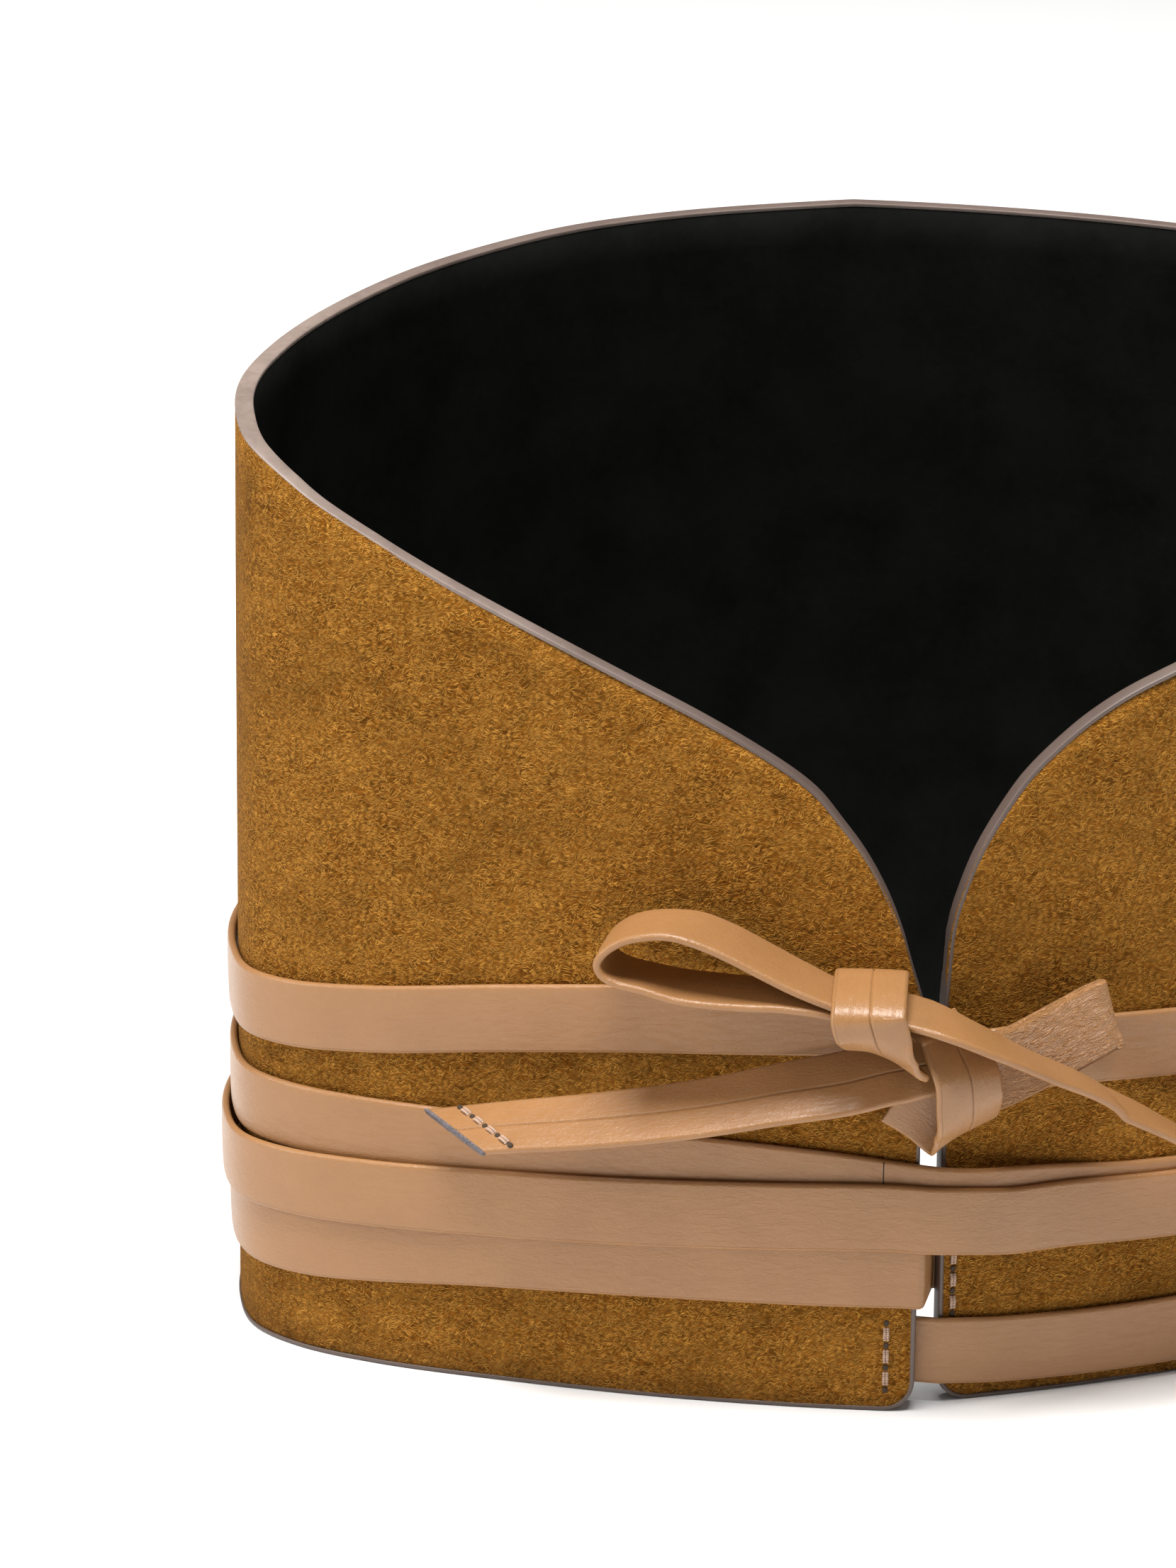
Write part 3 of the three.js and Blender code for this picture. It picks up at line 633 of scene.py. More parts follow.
def suede_material(colours):
    w, shader, point = new_material("suede_nap")
    fibres = w.group("short_fibres", {"Map": point["UV"], "Length": 1.35, "Width": 0.26,
                                      "Amount": 1.0})
    speck = w.noise(point["UV"], 1150.0, 3.0, 0.65)
    clump = w.noise(point["UV"], 330.0, 3.0, 0.6)
    patch = w.noise(point["UV"], 42.0, 4.0, 0.6, 0.8)
    base = w.mix(w.ramp(speck, 0.36, 0.66), colours.suede_dark, colours.suede)
    # Painted shade of the nap's hollows, where the clump noise is high
    base = w.tint(base, w.ramp(clump, 0.5, 0.66), 0.6, colours.suede_hollow_shade)
    base = w.tint(base, fibres["Fibres"], 0.9, colours.suede_light)
    base = w.tint(base, w.ramp(patch, 0.48, 0.66), 0.3, colours.suede_dark)
    base = w.tint(base, rubbed_wear(w, point, 9.0), 0.1, colours.suede_light)
    set_finish(w, shader, base, 0.95, specular=0.03)
    shader.inputs["Sheen Weight"].default_value = 0.06
    shader.inputs["Sheen Roughness"].default_value = 0.5
    shader.inputs["Sheen Tint"].default_value = (1.0, 0.7, 0.35, 1)
    height = w.math("ADD", fibres["Height"], w.math("MULTIPLY", clump, 0.8))
    bump(w, shader, height, 1.0, 0.42)


def strap_material(name, colours, crease=0.45, depth=0.11, pebble=0.5, painted_light_gain=1.0):
    """The straps' leather. A gain above 1 makes it paler: painted light, for a piece that catches
    more light.
    """
    w, shader, point = new_material(name)
    grain = leather_grain(w, point, pebble, crease)
    base = w.mix(w.ramp(grain["Mottle"], 0.3, 0.7), colours.strap_dark, colours.strap)
    base = w.tint(base, rubbed_wear(w, point, 14.0), 0.25, colours.strap_light)
    base = w.mix(1.0, base, (painted_light_gain, painted_light_gain, painted_light_gain, 1), blend="MULTIPLY")
    rough = w.ramp(grain["Height"], 0.1, 0.9)
    set_finish(w, shader, base, w.math("ADD", w.math("MULTIPLY", rough, 0.12), 0.31))
    drawn = w.group("drawn_creases", {"Map": point["UV"], "Size": 1.1})
    height = w.math("ADD", w.math("MULTIPLY", grain["Height"], 0.6),
                    w.math("MULTIPLY", drawn["Height"], crease))
    bump(w, shader, height, 0.7, depth)


def lining_material(colours):
    w, shader, point = new_material("lining_black")
    grain = leather_grain(w, point, 0.8, 0.5)
    base = w.mix(w.ramp(grain["Mottle"], 0.35, 0.65), colours.lining, colours.lining_light)
    base = w.tint(base, rubbed_wear(w, point, 26.0), 0.35, colours.lining_light)
    set_finish(w, shader, base, 0.72, specular=0.02)
    bump(w, shader, grain["Height"], 0.5, 0.06)


def edge_material(colours):
    """The painted edge, darker by the opening, low down and towards the back: by the opening this
    is painted shade and partly wear of the paint, and low down it is painted shade.
    """
    w, shader, point = new_material("edge_satin")
    grain = leather_grain(w, point, 0.35, 0.6)
    base = w.mix(w.ramp(grain["Mottle"], 0.35, 0.65), colours.edge_dark, colours.edge)
    base = w.tint(base, rubbed_wear(w, point, 6.0), 0.3, colours.edge_light)
    spot = w.add("ShaderNodeSeparateXYZ", {0: point["Object"]}).outputs
    # Mask of painted shade by the opening (partly paint wear) and on the low edges, and darker
    # towards the back
    aside = w.ramp(w.math("ABSOLUTE", spot[0]), 0.1, 0.03)
    front = w.ramp(spot[1], 0.01, -0.03)
    low = w.ramp(spot[2], 0.02, 0.008)
    back = w.math("MULTIPLY", w.ramp(spot[1], 0.02, 0.075), 0.8)
    shade_and_wear = w.math("MAXIMUM", w.math("MULTIPLY", aside, front), w.math("MAXIMUM", low, back))
    base = w.tint(base, shade_and_wear, 0.85, colours.edge_shade_and_wear)
    set_finish(w, shader, base, 0.48)
    bump(w, shader, grain["Height"], 0.5, 0.05)


def thread_material(colours):
    w, shader, point = new_material("thread_waxed")
    twist = w.add("ShaderNodeTexWave", {"Vector": point["UV"], "Scale": 900.0, "Distortion": 0.5})
    strands = twist.outputs["Fac"]
    # Painted shade between the thread's twisted strands, following the wave that also gives the
    # bump
    set_finish(w, shader, w.mix(strands, colours.thread_groove_shade, colours.thread), 0.7)
    bump(w, shader, strands, 0.6, 0.06)


def hole_shade_material():
    # Near black: painted shade for the needle holes, also used for the dark joint line across strap
    # B
    w, shader, point = new_material("hole_shade_and_joint")
    speck = w.noise(point["Object"], 1500.0, 2.0)
    set_finish(w, shader, w.mix(speck, (0.02, 0.012, 0.006, 1), (0.06, 0.035, 0.02, 1)), 0.9)


def raw_edge_material():
    w, shader, point = new_material("raw_grey")
    pores = w.noise(point["Object"], 1900.0, 3.0, 0.7)
    base = w.mix(w.ramp(pores, 0.35, 0.65), (0.05, 0.042, 0.044, 1), (0.17, 0.146, 0.155, 1))
    set_finish(w, shader, base, 0.85)
    bump(w, shader, pores, 0.6, 0.08)


def materials():
    """Each finish by name, made on first use."""
    colours = bpy.context.scene.corset_colours
    if "short_fibres" not in bpy.data.node_groups:
        make_fibre_group()
        make_grain_group()
        make_crease_group()
        make_wear_group()
        suede_material(colours)
        strap_material("strap_smooth", colours)
        # The right loop is paler by a gain of 1.3: painted light for the stronger light on it; its
        # crinkles in the bump are real
        strap_material("strap_crinkled_lit", colours, crease=1.7, depth=0.6, pebble=0.7, painted_light_gain=1.3)
        lining_material(colours)
        edge_material(colours)
        thread_material(colours)
        hole_shade_material()
        raw_edge_material()
    return bpy.data.materials


# The band

def band_columns():
    """Distances round the band, close together by the flaps' edges."""
    close = list(EDGE_COLUMNS)
    even = np.arange(close[-1] + COLUMN_STEP, PERIMETER - close[-1] - COLUMN_STEP / 2, COLUMN_STEP)
    return np.array(close + list(even) + [PERIMETER - d for d in reversed(close)])


def wall_rings(outer, inner, rows, relief):
    """Rings of a wall: up its outer face and down its inner one. Relief moves the outer face."""
    rings = []
    for distance in band_columns():
        line = BAND.at(distance)
        foot = foot_height(max(min(distance, PERIMETER - EDGE_INSET), EDGE_INSET)) + EDGE_INSET
        rim = rim_height(distance) - EDGE_INSET
        heights = foot + (rim - foot) * np.linspace(0, 1, rows)
        front = [place(line, outer + relief(distance, h), h) for h in heights]
        back = [place(line, inner, h) for h in heights[::-1]]
        rings.append(front + back)
    return rings


def skin_relief(distance, height):
    """Broad, shallow waves in the hide."""
    return WAVE_DEPTH * math.sin(distance / 31 + 0.7) * math.sin(height / 47 + distance / 83)


def map_wall(piece, rows):
    """The map of a wall in true metres: round the band and up. The inner face lies apart."""
    mesh = piece.data
    layer = mesh.uv_layers[0]
    columns = band_columns()
    heights = np.array([v.co.z for v in mesh.vertices])
    for loop in mesh.loops:
        i, j = divmod(loop.vertex_index, 2 * rows)
        up = heights[loop.vertex_index] + (j >= rows) * INNER_MAP_SHIFT
        layer.data[loop.index].uv = (columns[i] * MM, up)


def build_wall(name, outer, inner, rows, relief, material, slot, node):
    rings = wall_rings(outer, inner, rows, relief)
    piece = loft(name, rings, band_columns(), np.zeros(2 * rows), material)
    map_wall(piece, rows)
    return finish_piece(piece, slot, node)


def outline_points():
    """The band's outline as (distance round, height), evenly stepped, with the way out."""
    r = CORNER_RADIUS
    arc = np.linspace(0, math.pi / 2, CORNER_STEPS)
    bottom = [(d, 0.0) for d in np.arange(r, PERIMETER - r, EDGE_STEP)]
    right_corner = [(PERIMETER - r + r * math.sin(a), r - r * math.cos(a)) for a in arc]
    right_side = [(PERIMETER, z)
                  for z in np.arange(r + EDGE_STEP, rim_height(PERIMETER), EDGE_STEP)]
    rim = [(d, rim_height(d)) for d in rim_steps()]
    left_side = [(0.0, z) for z in np.arange(rim_height(0) - EDGE_STEP, r, -EDGE_STEP)]
    left_corner = [(r - r * math.sin(a), r - r * math.cos(a)) for a in arc[::-1]]
    points = np.array(bottom + right_corner + right_side + rim + left_side + left_corner[:-1])
    ahead, behind = np.roll(points, -1, axis=0), np.roll(points, 1, axis=0)
    way = ahead - behind
    out = np.stack([way[:, 1], -way[:, 0]], axis=1)
    return points, out / np.linalg.norm(out, axis=1)[:, None]


def rim_steps():
    """Distances along the rim, from the right flap to the left one, even along its slope."""
    fine = np.linspace(PERIMETER, 0, RIM_SAMPLES)
    heights = np.array([rim_height(d) for d in fine])
    run = np.concatenate([[0], np.cumsum(np.hypot(np.diff(fine), np.diff(heights)))])
    wanted = np.arange(0, run[-1], EDGE_STEP)
    return np.interp(wanted, run, fine)


def edge_section():
    """The painted edge across the wall: (offset from the outer line, way out of the edge)."""
    outer, inner = EDGE_PROUD, -WALL - EDGE_PROUD
    middle, half = (outer + inner) / 2, (outer - inner) / 2
    crown = [(middle + half * math.cos(a), EDGE_CROWN * (math.sin(a) ** 0.7 - 1))
             for a in np.linspace(0.12, math.pi - 0.12, CROWN_STEPS)]
    return ([(outer - 0.05, -EDGE_LAP), (outer, -EDGE_LAP * 0.6)] + crown
            + [(inner, -EDGE_LAP * 0.6), (inner + 0.05, -EDGE_LAP), (middle, -EDGE_LAP * 0.7)])


def build_edge_paint():
    points, ways = outline_points()
    section = edge_section()
    rings = []
    for (d, z), (way_round, way_up) in zip(points, ways):
        ring = [place(BAND.at(d + way_round * e), o, z + way_up * e) for o, e in section]
        rings.append(ring)
    along = np.arange(len(rings)) * EDGE_STEP
    around = np.arange(len(section)) * 0.5
    piece = loft("edge_paint", rings, along, around, materials()["edge_satin"], closed=True)
    return finish_piece(piece, "edge_paint")


# The straps

def strap_section(seam=0):
    """A folded strap's section: soft round edges, and a seam groove on one face if asked."""
    half, thick = STRAP_WIDTH / 2, STRAP_THICKNESS / 2
    flat = half - thick
    right = [(flat + thick * math.sin(a), thick * math.cos(a))
             for a in np.linspace(0.25, math.pi - 0.25, SIDE_STEPS)]
    face = [flat * t for t in (-1, -0.72, -0.4, -0.15, 0.15, 0.4, 0.72, 1)]
    top = [(a, thick + STRAP_CROWN * (1 - (a / flat) ** 2)) for a in face]
    lip, foot = thick + STRAP_CROWN, thick + STRAP_CROWN - SEAM_DEPTH
    half_seam = SEAM_WIDTH / 2
    groove = [(SEAM_OFFSET + a, t)
              for a, t in ((-3 * half_seam, lip), (-half_seam, lip), (-SEAM_FOOT, foot),
                           (SEAM_FOOT, foot), (half_seam, lip), (3 * half_seam, lip))]
    seamed = top[:4] + groove + top[5:]
    upper = seamed if seam > 0 else top
    lower = seamed if seam < 0 else top
    return upper + right + [(-a, -t) for a, t in lower + right]


def ring_at(section, middle, across, through):
    return [middle + across * a + through * t for a, t in section]


def wrap_stations(direction, heights, layers, end):
    """Stations of two rounds of a strap: (distance travelled, middle, outward)."""
    stations = []
    for travelled in np.arange(0, 2 * LOOP_LENGTH - end, STRAP_STEP):
        if direction > 0:
            line = wrap_at(travelled)
        elif travelled < SEAT:
            line = BAND.at(PERIMETER - travelled)
        else:
            line = wrap_at(PERIMETER - travelled)
        turns = travelled / LOOP_LENGTH
        out = FIRST_LAYER + (SECOND_LAYER - FIRST_LAYER) * read_table(layers, turns)
        out += SWAY_OUT * math.sin(travelled / 17)
        height = read_table(heights, turns) * STRAP_WIDTH
        height += SWAY_UP * math.sin(travelled / 41 + direction)
        stations.append((travelled, place(line, out, height), level_normal(line)))
    return stations


def sewn_stations(edge, direction, height):
    """A strap's sewn end, flat on the lining behind its flap."""
    stations = []
    for share in np.linspace(1, 0.02, SIDE_STEPS):
        line = BAND.at(edge + direction * share * SEWN_LENGTH)
        travelled = -share * SEWN_LENGTH - SEWN_LEAD
        stations.append((travelled, place(line, INSIDE_LAYER, height), level_normal(line)))
    return stations


def gap_stations(height):
    """Strap B's two round corners about the flaps' edges."""
    stations = []
    angles = np.linspace(0, TURN_ANGLE, SIDE_STEPS)
    corners = [(PERIMETER, -WALL, -1, angles), (0, 0, 1, angles[::-1])]
    for edge, out, side, angles in corners:
        line = BAND.at(edge)
        centre = place(line, out, height)
        for angle in np.radians(angles):
            n = line[1] * side
            turned = np.array([n[0] * math.cos(angle) - n[1] * math.sin(angle),
                               n[0] * math.sin(angle) + n[1] * math.cos(angle), 0])
            stations.append((-5 + len(stations) * 0.3, centre + turned * FIRST_LAYER,
                             turned * side))
    return stations


def build_strap(node, stations):
    """A wound strap, with its seam on the inner face."""
    section = strap_section(seam=-1)
    rings = [ring_at(section, middle, UP, normal) for _, middle, normal in stations]
    along = [travelled for travelled, _, _ in stations]
    piece = loft("wound_" + node, rings, along, run_along(section), materials()["strap_smooth"])
    return finish_piece(piece, "strap", node)


def strap_a_stations():
    height = STRAP_A_HEIGHTS[0][1] * STRAP_WIDTH
    rounds = wrap_stations(-1, STRAP_A_HEIGHTS, LAYER_A, STRAP_A_END * STRAP_WIDTH)
    return sewn_stations(0, 1, height) + rounds


def strap_b_stations():
    height = STRAP_B_HEIGHTS[0][1] * STRAP_WIDTH
    rounds = wrap_stations(1, STRAP_B_HEIGHTS, LAYER_B, STRAP_B_END * STRAP_WIDTH)
    return sewn_stations(PERIMETER, -1, height) + gap_stations(height) + rounds[1:]


# The bow

def front_line(along):
    """The straps' line at a distance to the right of the left flap's edge, less half the gap."""
    return wrap_at(-along - FLAP_GAP / 2)


def on_front(local):
    return place(front_line(local[0]), local[2], KNOT_HEIGHT + local[1])


def front_direction(along, direction):
    normal = front_line(along)[1]
    side = np.array([-normal[1], normal[0]])
    flat = side * direction[0] + normal * direction[2]
    return unit(np.array([flat[0], flat[1], direction[1]]))


def bow_frames(rows):
    """Middle, across and through at each fine step of a bow piece."""
    middles = centripetal([np.array(row[:3]) * STRAP_WIDTH for row in rows], BOW_STEPS)
    acrosses = uniform_rows([row[3] for row in rows], BOW_STEPS)
    slants = [(i, row[4] if len(row) > 4 else 0) for i, row in enumerate(rows)]
    places = np.array([on_front(m) for m in middles])
    tangents = np.gradient(places, axis=0)
    frames = []
    for i, (middle, tangent) in enumerate(zip(places, tangents)):
        tangent = unit(tangent)
        across = front_direction(middles[i][0], acrosses[i])
        across = unit(across - tangent * np.dot(across, tangent))
        slant = read_table(slants, i / BOW_STEPS) * 2
        frames.append((middle, across + tangent * slant, np.cross(tangent, across)))
    return frames


def build_bow_piece(name, rows, seam, material="strap_smooth"):
    section = strap_section(seam)
    frames = bow_frames(rows)
    rings = [ring_at(section, *f) for f in frames]
    run = run_along([middle for middle, _, _ in frames])
    piece = loft("tied_" + name, rings, run, run_along(section), materials()[material])
    return finish_piece(piece, "strap", name)


def build_raw_edge():
    """The bare leather at the left tail's cut end."""
    middle, across, along, top = tail_end()
    section = [(a * 1.01, t * 1.03) for a, t in strap_section()]
    rings = [ring_at(section, middle + along * d, across, top) for d in (-RAW_LAP, RAW_EDGE)]
    piece = loft("raw_edge", rings, [0, 0.5], np.arange(len(section)) * 0.6,
                 materials()["raw_grey"])
    return finish_piece(piece, "strap")


def build_strap_join():
    """The line where strap B's two lengths are joined, a little past the front opening."""
    travelled = LOOP_LENGTH + JOIN_PAST_GAP
    line = wrap_at(travelled)
    height = read_table(STRAP_B_HEIGHTS, travelled / LOOP_LENGTH) * STRAP_WIDTH
    face = FIRST_LAYER + STRAP_THICKNESS / 2 + 0.02
    heights = np.linspace(-0.47, 0.47, 9) * STRAP_WIDTH + height
    crowns = STRAP_CROWN * (1 - (2 * (heights - height) / STRAP_WIDTH) ** 2)
    path = np.array([place(line, face + crown, z) for crown, z in zip(crowns, heights)])
    piece = tube("strap_join", path, JOIN_RADIUS, "hole_shade_and_joint")
    return finish_piece(piece, "strap")


# Stitches

def thread_between(start, end, rise):
    """A short stitch as points along an arch from start to end, lifted by rise in the middle."""
    t = np.linspace(0, 1, 7)[:, None]
    return start + (end - start) * t + np.array(rise) * np.sin(math.pi * t) ** 0.6


def tube(name, path, radius, finish):
    """A thin round rod along a path."""
    tangents = np.gradient(path, axis=0)
    rings = []
    for point, tangent in zip(path, tangents):
        tangent = unit(tangent)
        side = unit(np.cross(tangent, [0.3, 0.2, 1.0] if abs(tangent[2]) < 0.9 else [1.0, 0, 0]))
        other = np.cross(tangent, side)
        rings.append([point + radius * (side * math.cos(a) + other * math.sin(a))
                      for a in np.arange(TUBE_SIDES) * 2 * math.pi / TUBE_SIDES])
    return loft(name, rings, np.arange(len(path)) * 0.5, np.arange(TUBE_SIDES) * 0.25,
                materials()[finish])


def joined(name, parts):
    """Several lofted bits as one mesh."""
    for part in parts:
        part.select_set(True)
    bpy.context.view_layer.objects.active = parts[0]
    bpy.ops.object.join()
    parts[0].name = name
    parts[0].data.name = name
    parts[0].select_set(False)
    return parts[0]


def flap_stitches(distance, lowest):
    """Needle holes up a flap and the stitches between them: (points, outward)."""
    line = BAND.at(distance)
    heights = lowest + np.arange(FLAP_HOLES) * STITCH_PITCH
    holes = [place(line, EDGE_PROUD, z) for z in heights]
    margin = (STITCH_PITCH - STITCH_LENGTH) / 2
    stitches = [(place(line, EDGE_PROUD, z + margin),
                 place(line, EDGE_PROUD, z + STITCH_PITCH - margin)) for z in heights[:-1]]
    return holes, stitches, level_normal(line)


def tail_end():
    """The left tail's cut end: middle, across, the way along the tail and its upper side."""
    frames = bow_frames(TAIL_LEFT)
    middle, across, through = frames[-1]
    along = unit(middle - frames[-8][0])
    return middle, across, along, through if through[2] > 0 else -through


def tail_stitches():
    """Holes and stitches across the left tail, in line with its cut end."""
    middle, across, along, top = tail_end()
    centre = middle - along * TAIL_STITCH_INSET + top * (STRAP_THICKNESS / 2 + STRAP_CROWN)
    marks = np.linspace(-0.43, 0.43, 5) * STRAP_WIDTH
    holes = [centre + across * a for a in marks]
    stitches = [(a + (b - a) * 0.2, b - (b - a) * 0.2) for a, b in zip(holes, holes[1:])]
    return holes, stitches, top


def thread_parts(stitches, outward, radius):
    """Each stitch as two strands that lie side by side."""
    parts = []
    for start, end in stitches:
        aside = unit(np.cross(end - start, outward)) * radius * 0.95
        for side in (-1, 1):
            path = thread_between(start + aside * side, end + aside * side, outward * THREAD_RISE)
            path[0] -= outward * THREAD_DIVE
            path[-1] -= outward * THREAD_DIVE
            parts.append(tube("strand", path, radius, "thread_waxed"))
    return parts


def hole_parts(holes, outward, up):
    """Needle holes as flat dark discs that sit just proud of the surface: painted shade for the
    holes.
    """
    parts = []
    aside = np.cross(up, outward)
    for centre in holes:
        rings = []
        for lift, share in HOLE_RINGS:
            rings.append([centre + outward * lift + HOLE_RADIUS * share
                          * (aside * math.cos(a) * 0.8 + up * math.sin(a))
                          for a in np.arange(HOLE_SIDES) * 2 * math.pi / HOLE_SIDES])
        parts.append(loft("hole", rings, np.arange(3) * 0.2, np.arange(HOLE_SIDES) * 0.3,
                          materials()["hole_shade_and_joint"]))
    return parts


def sew(name, row, up, radius):
    """A row of stitches as two pieces: its thread and its needle holes, drawn as dark discs of
    painted shade.
    """
    holes, stitches, outward = row
    finish_piece(joined(name + "_thread", thread_parts(stitches, outward, radius)), "thread")
    finish_piece(joined(name + "_holes", hole_parts(holes, outward, up)), "thread")


class CorsetSizes(bpy.types.PropertyGroup):
    stitch_gauge: bpy.props.FloatProperty(
        name="Thread", description="Radius of the sewing thread", default=THREAD_RADIUS * MM,
        unit="LENGTH")
    floor_size: bpy.props.FloatProperty(
        name="Floor", description="Width of the pale floor", default=8.0, unit="LENGTH")
    lens: bpy.props.FloatProperty(
        name="Lens", description="Focal length that gives the photo's framing", default=118.4,
        unit="CAMERA")
    camera_pitch: bpy.props.FloatProperty(
        name="Camera pitch", description="How far the camera looks down",
        default=math.radians(20), subtype="ANGLE")


def colour_property(name, description, default):
    return bpy.props.FloatVectorProperty(
        name=name, description=description, default=(*default, 1.0), size=4, subtype="COLOR",
        min=0, max=1)


class CorsetColours(bpy.types.PropertyGroup):
    suede: colour_property("Suede", "Main colour of the nap", (0.225, 0.077, 0.0075))
    suede_dark: colour_property("Suede dark", "Nap away from the light", (0.068, 0.0235, 0.0018))
    # Painted shade in the nap's hollows
    suede_hollow_shade: colour_property("Suede deep", "Hollows in the nap", (0.045, 0.0155, 0.0012))
    suede_light: colour_property("Suede light", "Bright single fibres", (0.72, 0.335, 0.058))
    strap: colour_property("Strap", "Main colour of the straps", (0.315, 0.152, 0.056))
    strap_dark: colour_property("Strap dark", "Straps' darker mottle", (0.275, 0.13, 0.047))
    strap_light: colour_property("Strap light", "Straps' rubbed places", (0.36, 0.178, 0.068))
    lining: colour_property("Lining", "Black lining", (0.0032, 0.0033, 0.0029))
    lining_light: colour_property("Lining light", "Scuffed lining", (0.0065, 0.0067, 0.006))
    edge: colour_property("Edge", "Painted edge", (0.26, 0.195, 0.165))
    edge_dark: colour_property("Edge dark", "Painted edge in its pores", (0.16, 0.115, 0.095))
    # Painted shade on the edge by the opening and low down, partly paint wear by the opening
    edge_shade_and_wear: colour_property("Edge worn", "Painted edge by the opening", (0.075, 0.048, 0.037))
    edge_light: colour_property("Edge light", "Rubbed painted edge", (0.36, 0.28, 0.24))
    thread: colour_property("Thread", "Sewing thread", (0.55, 0.38, 0.28))
    # Painted shade between the thread's strands
    thread_groove_shade: colour_property("Thread dark", "Between the thread's strands", (0.25, 0.15, 0.1))


class CORSET_OT_band(bpy.types.Operator):
    """Build the suede wall, its lining and the painted edge"""
    bl_idname = "corset.band"
    bl_label = "Band"

    def execute(self, context):
        finishes = materials()
        build_wall("suede_band_skin", 0, -SUEDE_THICKNESS, SUEDE_ROWS, skin_relief,
                   finishes["suede_nap"], "suede", "suede_band")
        build_wall("lining_skin", -SUEDE_THICKNESS - CLEARANCE, -WALL, LINING_ROWS,
                   lambda d, h: 0.0, finishes["lining_black"], "lining", "lining")
        build_edge_paint()
        return {"FINISHED"}


class CORSET_OT_straps(bpy.types.Operator):
    """Wind the two straps round the band"""
    bl_idname = "corset.straps"
    bl_label = "Straps"

    def execute(self, context):
        build_strap("strap_a", strap_a_stations())
        build_strap("strap_b", strap_b_stations())
        build_strap_join()
        return {"FINISHED"}


class CORSET_OT_bow(bpy.types.Operator):
    """Tie the bow: two loops, two tails and the knot's two turns"""
    bl_idname = "corset.bow"
    bl_label = "Bow"

    def execute(self, context):
        build_bow_piece("bow_loop_left", LOOP_LEFT, 0)
        build_bow_piece("bow_loop_right", LOOP_RIGHT, 0, "strap_crinkled_lit")
        build_bow_piece("bow_tail_left", TAIL_LEFT, 1)
        build_bow_piece("bow_tail_right", TAIL_RIGHT, 0)
        build_bow_piece("knot_wrap", KNOT_WRAP, 1)
        build_bow_piece("knot_tuck", KNOT_TUCK, 1)
        build_raw_edge()
        return {"FINISHED"}


class CORSET_OT_stitches(bpy.types.Operator):
    """Sew the straps to the flaps and close the tail's end"""
    bl_idname = "corset.stitches"
    bl_label = "Stitches"

    def execute(self, context):
        radius = context.scene.corset_sizes.stitch_gauge / MM
        sew("left_flap", flap_stitches(LEFT_STITCH, LEFT_FOOT), UP, radius)
        sew("right_flap", flap_stitches(PERIMETER - RIGHT_STITCH, RIGHT_FOOT), UP, radius)
        sew("left_tail", tail_stitches(), unit(tail_end()[1]), radius)
        return {"FINISHED"}


class CORSET_OT_stage(bpy.types.Operator):
    """Set the floor, the lights and the camera"""
    bl_idname = "corset.stage"
    bl_label = "Stage"

    def execute(self, context):
        sizes = context.scene.corset_sizes
        build_floor(sizes.floor_size)
        build_lights()
        build_camera(sizes)
        context.scene.view_settings.view_transform = "Standard"
        return {"FINISHED"}


def build_floor(width):
    half = width / 2
    mesh = bpy.data.meshes.new("floor")
    mesh.from_pydata([(-half, -half, 0), (half, -half, 0), (half, half, 0), (-half, half, 0)],
                     [], [(0, 1, 2, 3)])
    w, shader, point = new_material("pale_floor")
    cloud = w.noise(point["Object"], 3.0, 2.0)
    set_finish(w, shader, w.mix(cloud, (0.93, 0.93, 0.93, 1), (0.95, 0.95, 0.95, 1)), 0.9)
    mesh.materials.append(bpy.data.materials["pale_floor"])
    floor = bpy.data.objects.new("floor", mesh)
    bpy.context.scene.collection.objects.link(floor)


def aim(thing, target):
    way = Vector(target) - thing.location
    thing.rotation_euler = way.to_track_quat("-Z", "Y").to_euler()


def area_light(name, place_at, target, size, power, tint):
    light = bpy.data.lights.new(name, "AREA")
    light.shape = "RECTANGLE"
    light.size, light.size_y = size
    light.energy = power
    light.color = tint
    lamp = bpy.data.objects.new(name, light)
    lamp.location = place_at
    bpy.context.scene.collection.objects.link(lamp)
    aim(lamp, target)


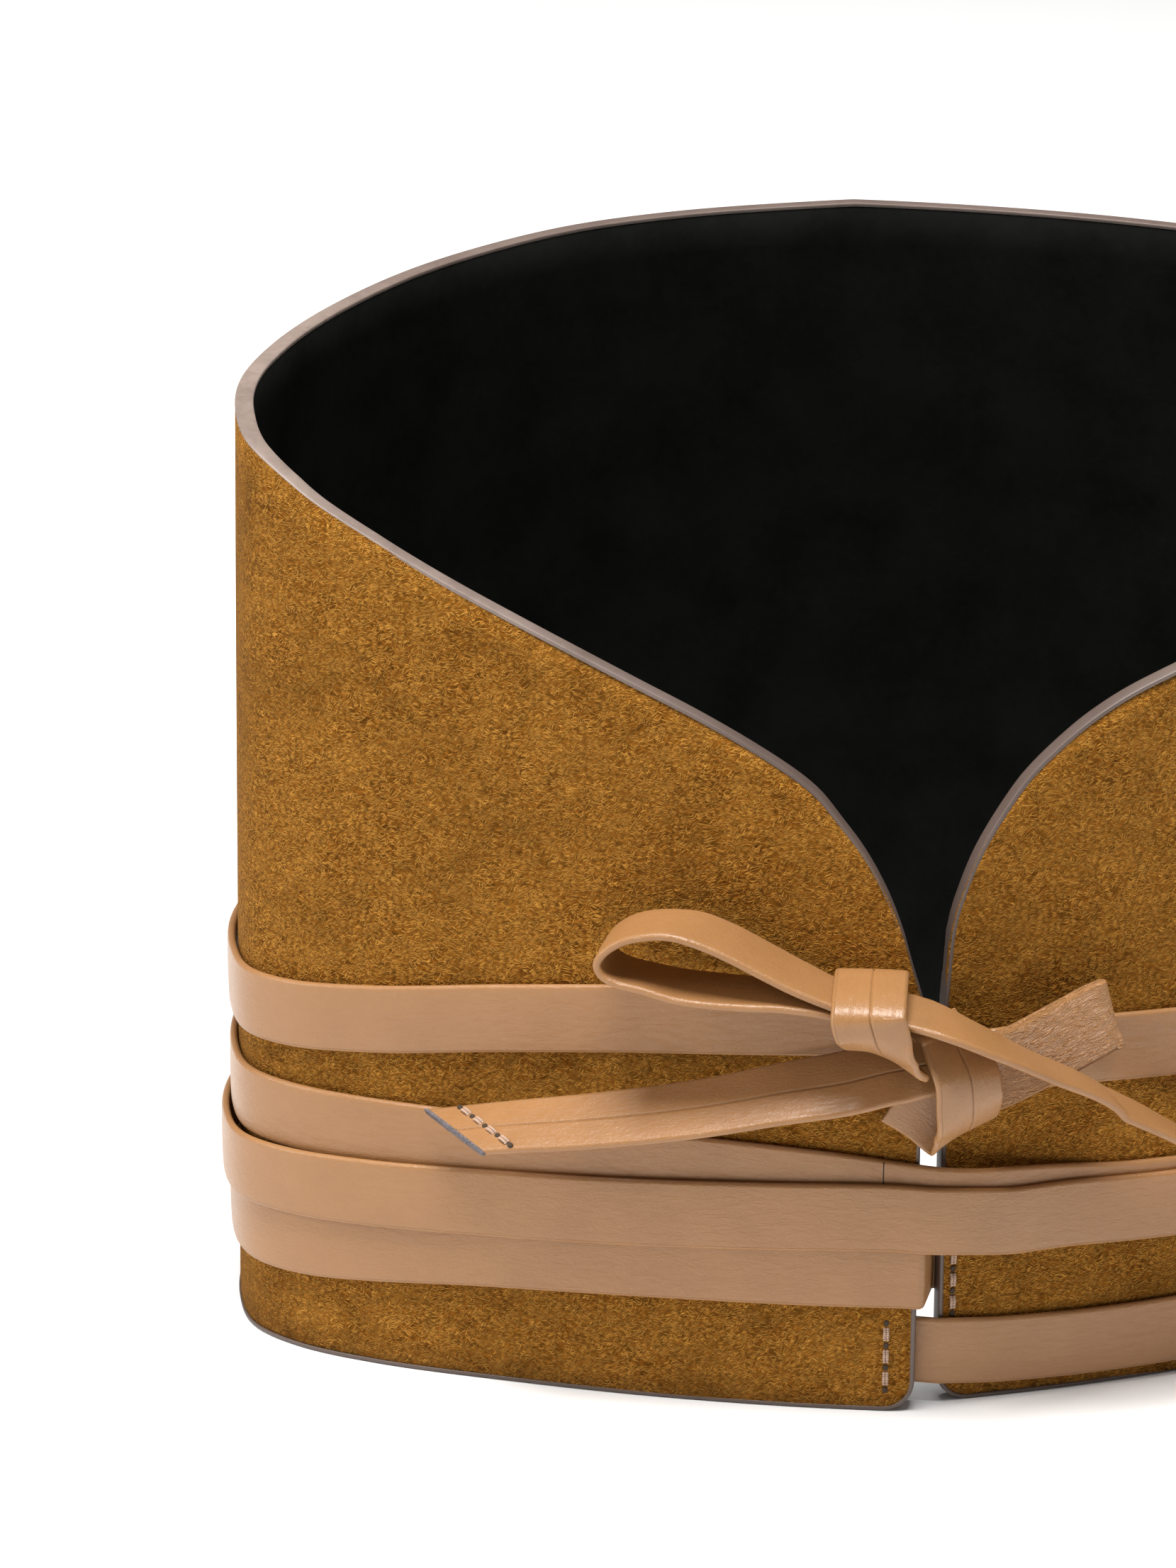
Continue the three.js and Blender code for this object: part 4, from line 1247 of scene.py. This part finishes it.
def build_lights():
    middle = (0, 0, 0.08)
    area_light("key", (-1.8, -0.4, 1.1), middle, (1.0, 0.8), 20, (1, 0.99, 0.97))
    area_light("top", (-0.15, -0.4, 2.1), middle, (1.2, 0.8), 80, (1, 1, 0.99))
    world = bpy.data.worlds.new("pale_room")
    world.use_nodes = True
    world.node_tree.nodes["Background"].inputs[0].default_value = (1, 1, 1, 1)
    world.node_tree.nodes["Background"].inputs[1].default_value = 0.2
    bpy.context.scene.world = world


def build_camera(sizes):
    """The camera that was fitted to the photo: 0.9 m in front and a little to the left."""
    camera = bpy.data.cameras.new("camera")
    camera.lens = sizes.lens
    camera.sensor_width = 36
    camera.clip_start = 0.01
    eye = bpy.data.objects.new("camera", camera)
    eye.location = Vector(OFFSET + CAMERA_PLACE) * MM
    eye.rotation_euler = (math.pi / 2 - sizes.camera_pitch, 0, 0)
    bpy.context.scene.collection.objects.link(eye)
    bpy.context.scene.camera = eye


class CORSET_PT_panel(bpy.types.Panel):
    """The belt's pieces, sizes and colours"""
    bl_idname = "CORSET_PT_panel"
    bl_label = "Corset Belt"
    bl_space_type = "VIEW_3D"
    bl_region_type = "UI"
    bl_category = "Corset Belt"

    def draw(self, context):
        for operator in OPERATORS:
            self.layout.operator(operator.bl_idname)
        for group in (context.scene.corset_sizes, context.scene.corset_colours):
            for name in group.bl_rna.properties.keys():
                if name not in ("rna_type", "name"):
                    self.layout.prop(group, name)


OPERATORS = (CORSET_OT_band, CORSET_OT_straps, CORSET_OT_bow, CORSET_OT_stitches,
             CORSET_OT_stage)
CLASSES = (CorsetSizes, CorsetColours, *OPERATORS, CORSET_PT_panel)


def register():
    for cls in CLASSES:
        bpy.utils.register_class(cls)
    bpy.types.Scene.corset_sizes = bpy.props.PointerProperty(type=CorsetSizes)
    bpy.types.Scene.corset_colours = bpy.props.PointerProperty(type=CorsetColours)


def unregister():
    del bpy.types.Scene.corset_colours
    del bpy.types.Scene.corset_sizes
    for cls in reversed(CLASSES):
        bpy.utils.unregister_class(cls)


def main():
    register()
    bpy.ops.corset.band()
    bpy.ops.corset.straps()
    bpy.ops.corset.bow()
    bpy.ops.corset.stitches()
    bpy.ops.corset.stage()


if __name__ == "__main__":
    main()
